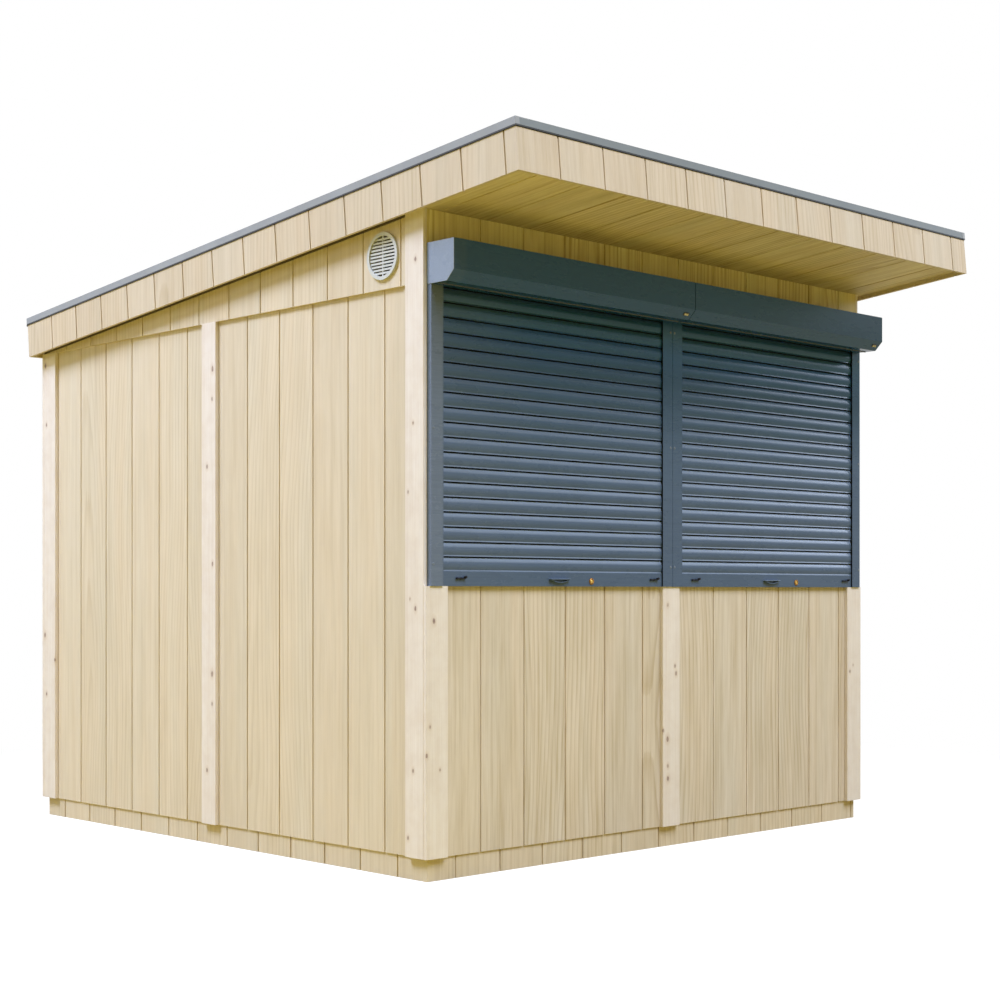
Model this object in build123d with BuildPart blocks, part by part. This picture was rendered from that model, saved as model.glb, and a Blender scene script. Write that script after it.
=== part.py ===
from build123d import *
import os
from math import cos, radians, tan

# Wooden market hut with two roller shutters, in millimetres.
# X runs along the serving front, Y from front to back and Z up.
# The origin is on the ground, in the middle of the plinth.

# Ground frame
BASE_WIDTH = 2378.0
BASE_DEPTH = 2525.0
BASE_HEIGHT = 77.5
PLINTH_THICKNESS = 70.0
JOIST_COUNT = 5
JOIST_WIDTH = 45.0
FLOOR_THICKNESS = 21.0

# Grooved sheet that clads the walls, the plinth and the roof edge
SHEET = 12.0
SHEET_PROUD = 6.0
GROOVE_PITCH = 203.0
GROOVE_WIDTH = 7.0
GROOVE_DEPTH = 4.0
FRONT_PLINTH_LEAD = 124.0
SIDE_PLINTH_LEAD = 154.0
FRONT_WALL_LEAD = 35.0
SIDE_WALL_LEAD = 209.0
GABLE_LEAD = 26.0
HEADER_LEAD = 236.0
SOFFIT_LEAD = 114.0
FRONT_FASCIA_LEAD = 182.0
SIDE_FASCIA_LEAD = 44.0

# Wall frame
SEAM_HEIGHT = 1990.0
GABLE_BACK_RISE = 9.0
SILL_HEIGHT = 983.0
POST = 70.0
RAIL = 45.0
GABLE_FRAME = 45.0

# Planed trim boards
TRIM_WIDTH = 95.0
TRIM_THICKNESS = 16.0
TRIM_ROUND = 2.5

# Roof, a lean-to cassette that rises to the front
ROOF_PITCH = 5.32
FRONT_OVERHANG = 513.5
SIDE_OVERHANG = 65.5
BACK_OVERHANG = 48.0
RAFTER_COUNT = 7
RAFTER_WIDTH = 45.0
RAFTER_HEIGHT = 117.0
ROOF_DECK = 18.0
MEMBRANE = 3.0
FASCIA_DROP = 16.0
EDGE_METAL = 3.0
EDGE_DROP = 30.0
EDGE_FLANGE = 60.0
DRIP_BEAD_RADIUS = 5.0

# Roller shutters
BOX_BELOW_SEAM = 7.0
SHUTTER_GAP = 3.0
GUIDE_WIDTH = 53.0
GUIDE_DEPTH = 22.0
GUIDE_SLOT = 38.0
BOX_SIZE = 137.0
BOX_CHAMFER = 35.0
BOX_SKIN = 2.5
SLAT_PITCH = 50.0
SLAT_DEPTH = 11.0
SLAT_TUCK = 30.0
CURTAIN_SETBACK = 5.0
CURTAIN_CLEARANCE = 0.4
BAR_HEIGHT = 50.0
HANDLE_WIDTH = 102.0
HANDLE_HEIGHT = 21.0
HANDLE_DEPTH = 14.0
HANDLE_WALL = 4.0
HANDLE_RIM = 6.0
HANDLE_EASE = 2.5
HANDLE_RISE = 27.0
LOCK_OFFSET = 165.0
LOCK_RISE = 18.5
LOCK_RADIUS = 12.0
LOCK_DEPTH = 5.0
BOLT_LENGTH = 52.0
BOLT_HEIGHT = 9.0
BOLT_DEPTH = 8.0
BOLT_RISE = 25.0
BOLT_KNOB_RADIUS = 6.0
BOLT_KNOB_DEPTH = 14.0
BOLT_KNOB_LIFT = 4.5
LEFT_BOLT_INSET = 50.0
RIGHT_BOLT_INSET = 15.0

# Round vents in the gables
VENT_RADIUS = 81.0
VENT_RING = 12.0
VENT_DEPTH = 9.0
VENT_HOLE_RADIUS = 72.0
VENT_SLATS = 11
VENT_SLAT_HEIGHT = 6.5
VENT_RIB = 5.0
VENT_FROM_FRONT = 212.0

# Rear service door
DOOR_THICKNESS = 40.0
DOOR_GAP = 3.0
DOOR_STOP = 12.0
JAMB_WIDTH = 118.0
HEAD_HEIGHT = 60.0
HINGE_COUNT = 3
HINGE_WIDTH = 64.0
HINGE_HEIGHT = 90.0
HINGE_PLATE = 2.5
HINGE_PIN_RADIUS = 5.0
HINGE_INSET = 220.0
LEVER_PLATE_WIDTH = 38.0
LEVER_PLATE_HEIGHT = 190.0
LEVER_PLATE = 5.0
LEVER_RADIUS = 9.0
LEVER_REACH = 36.0
LEVER_LENGTH = 110.0
LEVER_HEIGHT = 1010.0
LEVER_INSET = 70.0

# One overrun for all cuts
OVERRUN = 5.0

# Slat profile: depth and height shares of the joint, the lip and the crown
JOINT_DEPTH_SHARE = 0.15
JOINT_HEIGHT_SHARE = 0.09
LIP_DEPTH_SHARE = 0.84
LIP_HEIGHT_SHARE = 0.18
CROWN_FOOT_SHARE = 0.7
CROWN_HEIGHT_SHARE = 0.42
CROWN_TOP_SHARE = 0.28

# Places worked out from the driving dimensions
half_width = BASE_WIDTH / 2
half_depth = BASE_DEPTH / 2
wall_x = half_width + SHEET_PROUD
wall_y = half_depth + SHEET_PROUD
inner_x = wall_x - SHEET
inner_y = wall_y - SHEET
shutter_top = SEAM_HEIGHT - BOX_BELOW_SEAM
shutter_height = shutter_top - SILL_HEIGHT
shutter_width = wall_x - SHUTTER_GAP / 2
slope = tan(radians(ROOF_PITCH))
roof_depth = 2 * wall_y / cos(radians(ROOF_PITCH))
front_height = SEAM_HEIGHT + GABLE_BACK_RISE + 2 * wall_y * slope

os.makedirs("parts", exist_ok=True)


def save(piece, name):
    """Label a finished piece and write it under its own name."""
    piece.part.label = name
    export_step(piece.part, f"parts/{name}.step")


def soffit_height(y):
    """Height of the roof's underside at a distance y from the middle."""
    return front_height - (y + wall_y) * slope


def groove_places(start, end, lead):
    """Groove centres between start and end, the first one a lead from the start."""
    count = int((end - start - lead) // GROOVE_PITCH) + 1
    return [start + lead + GROOVE_PITCH * step for step in range(count)]


def spread(start, end, count):
    """Evenly spaced places from start to end."""
    return [start + (end - start) * step / (count - 1) for step in range(count)]


def rectangle_points(low, high, bottom, top):
    """Corners of an upright rectangle."""
    return [(low, bottom), (high, bottom), (high, top), (low, top)]


def under_roof_points(low, high, bottom):
    """Corners of an upright shape whose top follows the roof's underside."""
    return [(low, bottom), (high, bottom), (high, soffit_height(high)), (low, soffit_height(low))]


def grooved_sheet(name, faces, points, grooves, thickness=SHEET, opening=None, hole=None):
    """Sheets behind their outer faces, with grooves up them, an opening and a round hole where they have one.

    Each face comes with its way in: 1 along the plane's normal or -1 against it.
    """
    bottom = min(point[1] for point in points)
    top = max(point[1] for point in points)
    middle = (bottom + top) / 2
    with BuildPart() as sheet:
        for face, inward in faces:
            with BuildSketch(face):
                with BuildLine():
                    Polyline(*points, close=True)
                make_face()
                if opening:
                    with BuildLine():
                        Polyline(*opening, close=True)
                    make_face(mode=Mode.SUBTRACT)
                if hole:
                    with Locations(hole):
                        Circle(VENT_HOLE_RADIUS, mode=Mode.SUBTRACT)
            extrude(amount=inward * thickness)
            with BuildSketch(face):
                with Locations(*[(place, middle) for place in grooves]):
                    Rectangle(GROOVE_WIDTH, top - bottom + 2 * OVERRUN)
            extrude(amount=inward * GROOVE_DEPTH, mode=Mode.SUBTRACT)
    save(sheet, name)


front_face = Plane.XZ.offset(wall_y)
back_face = Plane.XZ.offset(-wall_y)
left_face = Plane.YZ.offset(-wall_x)
right_face = Plane.YZ.offset(wall_x)

# Plinth boards, the front and back ones across the ends of the side ones
front_plinth_grooves = groove_places(-half_width, half_width, FRONT_PLINTH_LEAD)
side_plinth_grooves = groove_places(-half_depth, half_depth, SIDE_PLINTH_LEAD)
plinth_run = half_depth - PLINTH_THICKNESS
across = rectangle_points(-half_width, half_width, 0, BASE_HEIGHT)
along = rectangle_points(-plinth_run, plinth_run, 0, BASE_HEIGHT)
end_plinth_faces = [(Plane.XZ.offset(half_depth), -1), (Plane.XZ.offset(-half_depth), 1)]
side_plinth_faces = [(Plane.YZ.offset(-half_width), 1), (Plane.YZ.offset(half_width), -1)]
grooved_sheet("front_and_back_plinths", end_plinth_faces, across, front_plinth_grooves, PLINTH_THICKNESS)
grooved_sheet("side_plinths", side_plinth_faces, along, side_plinth_grooves, PLINTH_THICKNESS)

# Floor joists between the front and back plinths, the middle one under the origin
joist_reach = half_width - PLINTH_THICKNESS - JOIST_WIDTH / 2
with BuildPart() as floor_joists:
    with BuildSketch():
        with Locations(*[(x, 0) for x in spread(-joist_reach, joist_reach, JOIST_COUNT)]):
            Rectangle(JOIST_WIDTH, 2 * plinth_run)
    extrude(amount=BASE_HEIGHT)
save(floor_joists, "floor_joists")

# Floor deck inside the wall frame
room_x = inner_x - POST
room_y = inner_y - POST
with BuildPart() as floor_deck:
    with BuildSketch(Plane.XY.offset(BASE_HEIGHT)):
        Rectangle(2 * room_x, 2 * room_y)
    extrude(amount=FLOOR_THICKNESS)
save(floor_deck, "floor_deck")

# Corner posts: the front pair reaches the roof, the back pair the seam of the side walls
post_x = inner_x - POST / 2
with BuildPart() as corner_posts:
    for x in (-post_x, post_x):
        with BuildSketch(Plane.YZ.offset(x)):
            with BuildLine():
                Polyline(*under_roof_points(-inner_y, -room_y, BASE_HEIGHT), close=True)
            make_face()
            with BuildLine():
                Polyline(*rectangle_points(room_y, inner_y, BASE_HEIGHT, SEAM_HEIGHT), close=True)
            make_face()
        extrude(amount=POST / 2, both=True)
save(corner_posts, "corner_posts")

# Middle posts of the four walls
with BuildPart() as middle_posts:
    with BuildSketch(Plane.YZ):
        with BuildLine():
            Polyline(*under_roof_points(-inner_y, -room_y, BASE_HEIGHT), close=True)
        make_face()
        with BuildLine():
            Polyline(*rectangle_points(room_y, inner_y, BASE_HEIGHT, SEAM_HEIGHT), close=True)
        make_face()
    extrude(amount=POST / 2, both=True)
    with BuildSketch(Plane.XY.offset(BASE_HEIGHT)):
        with Locations((-post_x, 0), (post_x, 0)):
            Rectangle(POST, POST)
    extrude(amount=SEAM_HEIGHT - BASE_HEIGHT)
save(middle_posts, "middle_posts")

# Rails between the posts: soles and tops of the side walls, soles, sills and headers of the front,
# and the sole and tops of the back
side_bay = room_y - POST / 2
side_bay_middle = (room_y + POST / 2) / 2
front_bay = room_x - POST / 2
front_bay_middle = (room_x + POST / 2) / 2
rail_y = inner_y - POST / 2
sole_places = [(-front_bay_middle, -rail_y), (front_bay_middle, -rail_y), (-front_bay_middle, rail_y)]
back_top_places = [(-front_bay_middle, rail_y), (front_bay_middle, rail_y)]
sill_places = [(-front_bay_middle, -rail_y), (front_bay_middle, -rail_y)]
side_places = [(x, y) for x in (-post_x, post_x) for y in (-side_bay_middle, side_bay_middle)]
rail_levels = [
    (BASE_HEIGHT, sole_places, side_places),
    (SILL_HEIGHT - RAIL, sill_places, []),
    (SEAM_HEIGHT - RAIL, back_top_places, side_places),
]
with BuildPart() as wall_rails:
    for level, cross_places, run_places in rail_levels:
        with BuildSketch(Plane.XY.offset(level)):
            with Locations(*cross_places):
                Rectangle(front_bay, POST)
            if run_places:
                with Locations(*run_places):
                    Rectangle(POST, side_bay)
        extrude(amount=RAIL)
    for x in (-front_bay_middle, front_bay_middle):
        with BuildSketch(Plane.YZ.offset(x)):
            with BuildLine():
                Polyline(*under_roof_points(-inner_y, -inner_y + RAIL, shutter_top), close=True)
            make_face()
        extrude(amount=front_bay / 2, both=True)
save(wall_rails, "wall_rails")

# Front sheets below and above the shutters, and the plain stiles behind the guides
front_grooves = groove_places(-wall_x, wall_x, FRONT_WALL_LEAD)
header_grooves = groove_places(-wall_x, wall_x, HEADER_LEAD)
header_top = soffit_height(-inner_y)
lower_points = rectangle_points(-wall_x, wall_x, BASE_HEIGHT, SILL_HEIGHT)
header_points = rectangle_points(-wall_x, wall_x, shutter_top, header_top)
grooved_sheet("front_lower_wall", [(front_face, -1)], lower_points, front_grooves)
grooved_sheet("front_header_panel", [(front_face, -1)], header_points, header_grooves)
with BuildPart() as front_stiles:
    with BuildSketch(Plane.XY.offset(SILL_HEIGHT)):
        with Locations((0, -(wall_y + inner_y) / 2)):
            Rectangle(POST, SHEET)
            with GridLocations(wall_x + room_x, 0, 2, 1):
                Rectangle(wall_x - room_x, SHEET)
    extrude(amount=shutter_height)
save(front_stiles, "front_stiles")

# Side walls up to the seam
side_grooves = groove_places(-inner_y, inner_y, SIDE_WALL_LEAD)
side_points = rectangle_points(-inner_y, inner_y, BASE_HEIGHT, SEAM_HEIGHT)
grooved_sheet("left_wall", [(left_face, 1)], side_points, side_grooves)
grooved_sheet("right_wall", [(right_face, -1)], side_points, side_grooves)

# Gables over the seam: a tapered frame on the wall, and a sheet that stands proud of the wall below
gable_start = TRIM_WIDTH - wall_y
vent_y = VENT_FROM_FRONT - wall_y
vent_place = (vent_y, (SEAM_HEIGHT + soffit_height(vent_y)) / 2)
gable_grooves = groove_places(gable_start, wall_y, GABLE_LEAD)
gable_points = under_roof_points(gable_start, wall_y, SEAM_HEIGHT)
grooved_sheet("left_gable", [(left_face.offset(-SHEET), 1)], gable_points, gable_grooves, hole=vent_place)
grooved_sheet("right_gable", [(right_face.offset(SHEET), -1)], gable_points, gable_grooves, hole=vent_place)
with BuildPart() as gable_frames:
    for face, inward in ((left_face, 1), (right_face, -1)):
        with BuildSketch(face):
            with BuildLine():
                Polyline(*under_roof_points(-room_y, inner_y, SEAM_HEIGHT), close=True)
            make_face()
            with Locations(vent_place):
                Circle(VENT_HOLE_RADIUS, mode=Mode.SUBTRACT)
        extrude(amount=inward * GABLE_FRAME)
save(gable_frames, "gable_frames")

# Back wall with its doorway in one bay, sized from the frame that fills the bay
door_x = front_bay_middle
stop_half = front_bay / 2 - JAMB_WIDTH
frame_top = SEAM_HEIGHT - RAIL
stop_top = frame_top - HEAD_HEIGHT
door_half = stop_half + DOOR_STOP - DOOR_GAP
door_bottom = BASE_HEIGHT + DOOR_GAP
door_top = stop_top + DOOR_STOP - DOOR_GAP
doorway = rectangle_points(door_x - door_half - DOOR_GAP, door_x + door_half + DOOR_GAP,
                           BASE_HEIGHT - OVERRUN, door_top + DOOR_GAP)
back_points = rectangle_points(-wall_x, wall_x, BASE_HEIGHT, soffit_height(wall_y))
grooved_sheet("back_wall", [(back_face, 1)], back_points, front_grooves, opening=doorway)

# Rear door, flush with the wall outside
door_points = rectangle_points(door_x - door_half, door_x + door_half, door_bottom, door_top)
door_grooves = [place for place in front_grooves if abs(place - door_x) < door_half - GROOVE_WIDTH]
grooved_sheet("rear_door", [(back_face, 1)], door_points, door_grooves, DOOR_THICKNESS)

# Door frame between the posts, rebated so that the door closes against its stop
frame_face = Plane.XZ.offset(-inner_y)
frame_points = rectangle_points(door_x - front_bay / 2, door_x + front_bay / 2, BASE_HEIGHT, frame_top)
stop_points = rectangle_points(door_x - stop_half, door_x + stop_half, BASE_HEIGHT - OVERRUN, stop_top)
with BuildPart() as rear_door_frame:
    with BuildSketch(frame_face):
        with BuildLine():
            Polyline(*frame_points, close=True)
        make_face()
        with BuildLine():
            Polyline(*stop_points, close=True)
        make_face(mode=Mode.SUBTRACT)
    extrude(amount=POST)
    with BuildSketch(frame_face):
        with BuildLine():
            Polyline(*doorway, close=True)
        make_face()
    extrude(amount=DOOR_THICKNESS - SHEET, mode=Mode.SUBTRACT)
save(rear_door_frame, "rear_door_frame")

# Hinges: a flat plate across the gap, with its pin
hinge_x = door_x + door_half + DOOR_GAP / 2
hinge_levels = spread(door_bottom + HINGE_INSET, door_top - HINGE_INSET, HINGE_COUNT)
with BuildPart() as rear_door_hinges:
    with BuildSketch(back_face):
        with Locations(*[(hinge_x, level) for level in hinge_levels]):
            Rectangle(HINGE_WIDTH, HINGE_HEIGHT)
    extrude(amount=-HINGE_PLATE)
    for level in hinge_levels:
        with BuildSketch(Plane.XY.offset(level - HINGE_HEIGHT / 2)):
            with Locations((hinge_x, wall_y + HINGE_PLATE)):
                Circle(HINGE_PIN_RADIUS)
            with Locations((hinge_x, wall_y - HINGE_PIN_RADIUS)):
                Rectangle(HINGE_WIDTH, 2 * HINGE_PIN_RADIUS, mode=Mode.SUBTRACT)
        extrude(amount=HINGE_HEIGHT)
save(rear_door_hinges, "rear_door_hinges")

# Lever handle on a long plate
lever_x = door_x - door_half + LEVER_INSET
with BuildPart() as rear_door_handle:
    with BuildSketch(back_face):
        with Locations((lever_x, LEVER_HEIGHT)):
            RectangleRounded(LEVER_PLATE_WIDTH, LEVER_PLATE_HEIGHT, LEVER_PLATE_WIDTH / 4)
    extrude(amount=-LEVER_PLATE)
    with BuildSketch(back_face.offset(-LEVER_PLATE)):
        with Locations((lever_x, LEVER_HEIGHT)):
            Circle(LEVER_RADIUS)
    extrude(amount=-LEVER_REACH)
    with BuildSketch(Plane.YZ.offset(lever_x)):
        with Locations((wall_y + LEVER_PLATE + LEVER_REACH, LEVER_HEIGHT)):
            Circle(LEVER_RADIUS)
    extrude(amount=LEVER_LENGTH)
save(rear_door_handle, "rear_door_handle")


def trim_boards(name, boards):
    """Upright boards on a wall, each a face plane, its outline and the way out, with eased long edges."""
    with BuildPart() as trims:
        for face, way, points in boards:
            with BuildSketch(face):
                with BuildLine():
                    Polyline(*points, close=True)
                make_face()
            extrude(amount=way * TRIM_THICKNESS)
        fillet(trims.edges().filter_by(Axis.Z), TRIM_ROUND)
    save(trims, name)


# Trim boards: the front and back ones lap over the edges of the side ones
trim_half = TRIM_WIDTH / 2
lap_x = wall_x + TRIM_THICKNESS
lap_spans = [(-lap_x, TRIM_WIDTH - lap_x), (-trim_half, trim_half), (lap_x - TRIM_WIDTH, lap_x)]
side_trim_points = [
    under_roof_points(-wall_y, gable_start, BASE_HEIGHT),
    rectangle_points(-trim_half, trim_half, BASE_HEIGHT, SEAM_HEIGHT),
    rectangle_points(wall_y - TRIM_WIDTH, wall_y, BASE_HEIGHT, SEAM_HEIGHT),
]
front_boards = [(front_face, 1, rectangle_points(*span, BASE_HEIGHT, SILL_HEIGHT)) for span in lap_spans]
back_boards = [(back_face, -1, rectangle_points(*span, BASE_HEIGHT, SEAM_HEIGHT)) for span in lap_spans]
trim_boards("front_trims", front_boards)
trim_boards("left_trims", [(left_face, -1, points) for points in side_trim_points])
trim_boards("right_trims", [(right_face, 1, points) for points in side_trim_points])
trim_boards("back_trims", back_boards)

# Roof cassette on the slope: its plane lies on the walls, with Y down the slope from the front wall
underside = Plane(origin=(0, -wall_y, front_height), x_dir=(1, 0, 0), z_dir=(0, slope, 1))
roof_half = wall_x + SIDE_OVERHANG
roof_front = -FRONT_OVERHANG
roof_back = roof_depth + BACK_OVERHANG
fascia_half = roof_half - EDGE_METAL
fascia_front = roof_front + EDGE_METAL
fascia_back = roof_back - EDGE_METAL
core_half = fascia_half - SHEET
core_front = fascia_front + SHEET
core_back = fascia_back - SHEET
core_middle = (core_front + core_back) / 2
deck_level = SHEET + RAFTER_HEIGHT
membrane_level = deck_level + ROOF_DECK
flange_level = membrane_level + MEMBRANE
roof_top = flange_level + EDGE_METAL


def roof_sheet(name, level, thickness, half, front, back):
    """A sheet of the roof, from its level above the underside."""
    with BuildPart() as layer:
        with BuildSketch(underside.offset(level)):
            with Locations((0, (front + back) / 2)):
                Rectangle(2 * half, back - front)
        extrude(amount=thickness)
    save(layer, name)


# Soffit and ceiling sheet, grooved down the slope on its underside
with BuildPart() as soffit:
    with BuildSketch(underside):
        with Locations((0, core_middle)):
            Rectangle(2 * core_half, core_back - core_front)
    extrude(amount=SHEET)
    with BuildSketch(underside):
        with Locations(*[(place, 0) for place in groove_places(-core_half, core_half, SOFFIT_LEAD)]):
            Rectangle(GROOVE_WIDTH, 2 * (core_back - core_front))
    extrude(amount=GROOVE_DEPTH, mode=Mode.SUBTRACT)
save(soffit, "soffit")

# Rafters, roof deck and membrane
rafter_reach = core_half - RAFTER_WIDTH / 2
with BuildPart() as rafters:
    with BuildSketch(underside.offset(SHEET)):
        with Locations(*[(x, core_middle) for x in spread(-rafter_reach, rafter_reach, RAFTER_COUNT)]):
            Rectangle(RAFTER_WIDTH, core_back - core_front)
    extrude(amount=RAFTER_HEIGHT)
save(rafters, "rafters")
roof_sheet("roof_deck", deck_level, ROOF_DECK, core_half, core_front, core_back)
roof_sheet("roof_membrane", membrane_level, MEMBRANE, fascia_half, fascia_front, fascia_back)

# Fascias of grooved sheet, square to the slope, hanging a little below the soffit
fascia_points = rectangle_points(-fascia_half, fascia_half, -FASCIA_DROP, membrane_level)
side_fascia_points = rectangle_points(core_front, core_back, -FASCIA_DROP, membrane_level)
end_grooves = groove_places(-fascia_half, fascia_half, FRONT_FASCIA_LEAD)
run_grooves = groove_places(core_front, core_back, SIDE_FASCIA_LEAD)
down_slope = underside.y_dir
slope_front = Plane(underside.origin + down_slope * fascia_front, x_dir=(1, 0, 0), z_dir=-down_slope)
slope_back = Plane(underside.origin + down_slope * fascia_back, x_dir=(1, 0, 0), z_dir=-down_slope)
slope_side = Plane(underside.origin, x_dir=down_slope, z_dir=(1, 0, 0))
grooved_sheet("front_fascia", [(slope_front, -1)], fascia_points, end_grooves)
grooved_sheet("back_fascia", [(slope_back, 1)], fascia_points, end_grooves)
side_fascia_faces = [(slope_side.offset(-fascia_half), 1), (slope_side.offset(fascia_half), -1)]
grooved_sheet("side_fascias", side_fascia_faces, side_fascia_points, run_grooves)


def edge_section(outer, inward):
    """Angle section of the roof's edge metal: a flange on the membrane and a drop over the fascia."""
    drop = roof_top - EDGE_DROP
    toe = outer + inward * EDGE_FLANGE
    leg = outer + inward * EDGE_METAL
    return [(outer, drop), (leg, drop), (leg, flange_level), (toe, flange_level), (toe, roof_top),
            (outer, roof_top)]


# Edge metal along the four sides: the front and back lengths between the side ones
with BuildPart() as side_edge_metal:
    for outer, inward in ((-roof_half, 1), (roof_half, -1)):
        with BuildSketch(slope_front.offset(EDGE_METAL)):
            with BuildLine():
                Polyline(*edge_section(outer, inward), close=True)
            make_face()
        extrude(amount=roof_front - roof_back)
save(side_edge_metal, "side_edge_metal")
end_half = roof_half - EDGE_FLANGE


def end_edge_metal(name, outer, inward, bead_radius=0):
    """Edge metal across the front or back: its drop reaches the side drops, its flange the side flanges.

    Where rain runs off, a rolled bead ends the drop.
    """
    drop_points = rectangle_points(outer, outer + inward * EDGE_METAL, roof_top - EDGE_DROP, flange_level)
    with BuildPart() as length:
        with BuildSketch(slope_side):
            with BuildLine():
                Polyline(*edge_section(outer, inward), close=True)
            make_face()
        extrude(amount=end_half, both=True)
        with BuildSketch(slope_side):
            with BuildLine():
                Polyline(*drop_points, close=True)
            make_face()
        extrude(amount=fascia_half, both=True)
        if bead_radius:
            with BuildSketch(slope_side):
                with Locations((outer + inward * (EDGE_METAL - bead_radius), roof_top - EDGE_DROP)):
                    Circle(bead_radius)
            extrude(amount=fascia_half, both=True)
    save(length, name)


end_edge_metal("front_edge_metal", roof_front, 1)
end_edge_metal("back_drip_edge", roof_back, -1, DRIP_BEAD_RADIUS)


# Roller shutters, made alike: curtain line and slot from the front wall's face
slot_near = CURTAIN_SETBACK - CURTAIN_CLEARANCE
slot_far = CURTAIN_SETBACK + SLAT_DEPTH + CURTAIN_CLEARANCE
opening_width = shutter_width - 2 * GUIDE_WIDTH
curtain_half = opening_width / 2 + SLAT_TUCK
curtain_bottom = SILL_HEIGHT + BAR_HEIGHT - JOINT_HEIGHT_SHARE * SLAT_PITCH
slat_count = int((shutter_top - curtain_bottom) // SLAT_PITCH) + 1


def outward(distance):
    """Y of a place a distance out from the front wall's face."""
    return -wall_y - distance


case_points = [
    (outward(0), shutter_top),
    (outward(BOX_SIZE - BOX_CHAMFER), shutter_top),
    (outward(BOX_SIZE), shutter_top + BOX_CHAMFER),
    (outward(BOX_SIZE), shutter_top + BOX_SIZE),
    (outward(0), shutter_top + BOX_SIZE),
]


def slat_points(level):
    """Joint, lip and crown of one slat, from its lower edge up, as (y, z) places."""
    joint = outward(CURTAIN_SETBACK + JOINT_DEPTH_SHARE * SLAT_DEPTH)
    lip = outward(CURTAIN_SETBACK + LIP_DEPTH_SHARE * SLAT_DEPTH)
    foot = outward(CURTAIN_SETBACK + CROWN_FOOT_SHARE * SLAT_DEPTH)
    crown = outward(CURTAIN_SETBACK + SLAT_DEPTH)
    top = outward(CURTAIN_SETBACK + CROWN_TOP_SHARE * SLAT_DEPTH)
    joint_level = level + JOINT_HEIGHT_SHARE * SLAT_PITCH
    lip_level = level + LIP_HEIGHT_SHARE * SLAT_PITCH
    crown_level = level + CROWN_HEIGHT_SHARE * SLAT_PITCH
    top_level = level + SLAT_PITCH
    return [(joint, level), (joint, joint_level), (lip, joint_level), (foot, lip_level),
            (crown, crown_level), (top, top_level)]


def roller_shutter(side, middle):
    """Box, guides and curtain of one shutter about its middle."""
    # Guides: channels that hold the curtain's edges
    with BuildPart() as guides:
        with BuildSketch(Plane.XY.offset(SILL_HEIGHT)):
            with Locations((middle, outward(GUIDE_DEPTH / 2))):
                with GridLocations(shutter_width - GUIDE_WIDTH, 0, 2, 1):
                    Rectangle(GUIDE_WIDTH, GUIDE_DEPTH)
            with Locations((middle, outward((slot_near + slot_far) / 2))):
                Rectangle(opening_width + 2 * GUIDE_SLOT, slot_far - slot_near, mode=Mode.SUBTRACT)
        extrude(amount=shutter_height)
    save(guides, f"{side}_shutter_guides")

    # Box: a folded case with a chamfered lower front edge and a slot for the curtain
    base = Plane.YZ.offset(middle)
    with BuildPart() as box:
        with BuildSketch(base):
            with BuildLine():
                Polyline(*case_points, close=True)
            make_face()
        extrude(amount=shutter_width / 2, both=True)
        with BuildSketch(base):
            with BuildLine():
                Polyline(*case_points, close=True)
            make_face()
            offset(amount=-BOX_SKIN, mode=Mode.REPLACE)
        extrude(amount=shutter_width / 2 - BOX_SKIN, both=True, mode=Mode.SUBTRACT)
        with BuildSketch(Plane.XY.offset(shutter_top)):
            with Locations((middle, outward((slot_near + slot_far) / 2))):
                Rectangle(2 * (curtain_half + CURTAIN_CLEARANCE), slot_far - slot_near)
        extrude(amount=BOX_SKIN, mode=Mode.SUBTRACT)
    save(box, f"{side}_shutter_box")

    # Curtain of hooked slats: the lowest one's lip sits on the bottom bar, the top one is inside the box
    with BuildPart() as curtain:
        with BuildSketch(base):
            with BuildLine():
                slats = [slat_points(curtain_bottom + SLAT_PITCH * step) for step in range(slat_count + 1)]
                slats[0] = slats[0][2:]
                for slat, slat_above in zip(slats, slats[1:]):
                    Polyline(*slat[:-2])
                    ThreePointArc(*slat[-3:])
                    Line(slat[-1], slat_above[0])
                back = outward(CURTAIN_SETBACK)
                first, last = slats[0][0], slats[-1][0]
                Polyline(last, (back, last[1]), (back, first[1]), first)
            make_face()
        extrude(amount=curtain_half, both=True)
    save(curtain, f"{side}_shutter_curtain")


shutter_shift = (shutter_width + SHUTTER_GAP) / 2
shutter_middles = (-shutter_shift, shutter_shift)
roller_shutter("left", shutter_middles[0])
roller_shutter("right", shutter_middles[1])

# Bottom bars, which carry the curtains' fittings
bar_face = Plane.XZ.offset(wall_y + CURTAIN_SETBACK + SLAT_DEPTH)
with BuildPart() as shutter_bottom_bars:
    with BuildSketch(bar_face):
        with Locations(*[(x, SILL_HEIGHT + BAR_HEIGHT / 2) for x in shutter_middles]):
            Rectangle(2 * curtain_half, BAR_HEIGHT)
    extrude(amount=-SLAT_DEPTH)
save(shutter_bottom_bars, "shutter_bottom_bars")

# Pull handles in the middle of the bottom bars: a deep grip flange above a shallow curved rim
handle_top = SILL_HEIGHT + HANDLE_RISE
handle_half = HANDLE_WIDTH / 2
with BuildPart() as shutter_handles:
    with BuildSketch(bar_face):
        for x in shutter_middles:
            with BuildLine():
                Line((x - handle_half, handle_top), (x + handle_half, handle_top))
                ThreePointArc((x + handle_half, handle_top), (x, handle_top - HANDLE_HEIGHT),
                              (x - handle_half, handle_top))
            make_face()
        offset(amount=-HANDLE_WALL, mode=Mode.SUBTRACT)
    extrude(amount=HANDLE_DEPTH)
    with BuildSketch(bar_face.offset(HANDLE_RIM)):
        with Locations(*[(x, handle_top - HANDLE_WALL - HANDLE_HEIGHT / 2) for x in shutter_middles]):
            Rectangle(HANDLE_WIDTH, HANDLE_HEIGHT)
    extrude(amount=HANDLE_DEPTH, mode=Mode.SUBTRACT)
    grip_edges = shutter_handles.edges().filter_by(Axis.X).group_by(Axis.Z)[-1].group_by(Axis.Y)[0]
    fillet(grip_edges, radius=HANDLE_EASE)
save(shutter_handles, "shutter_handles")

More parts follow.
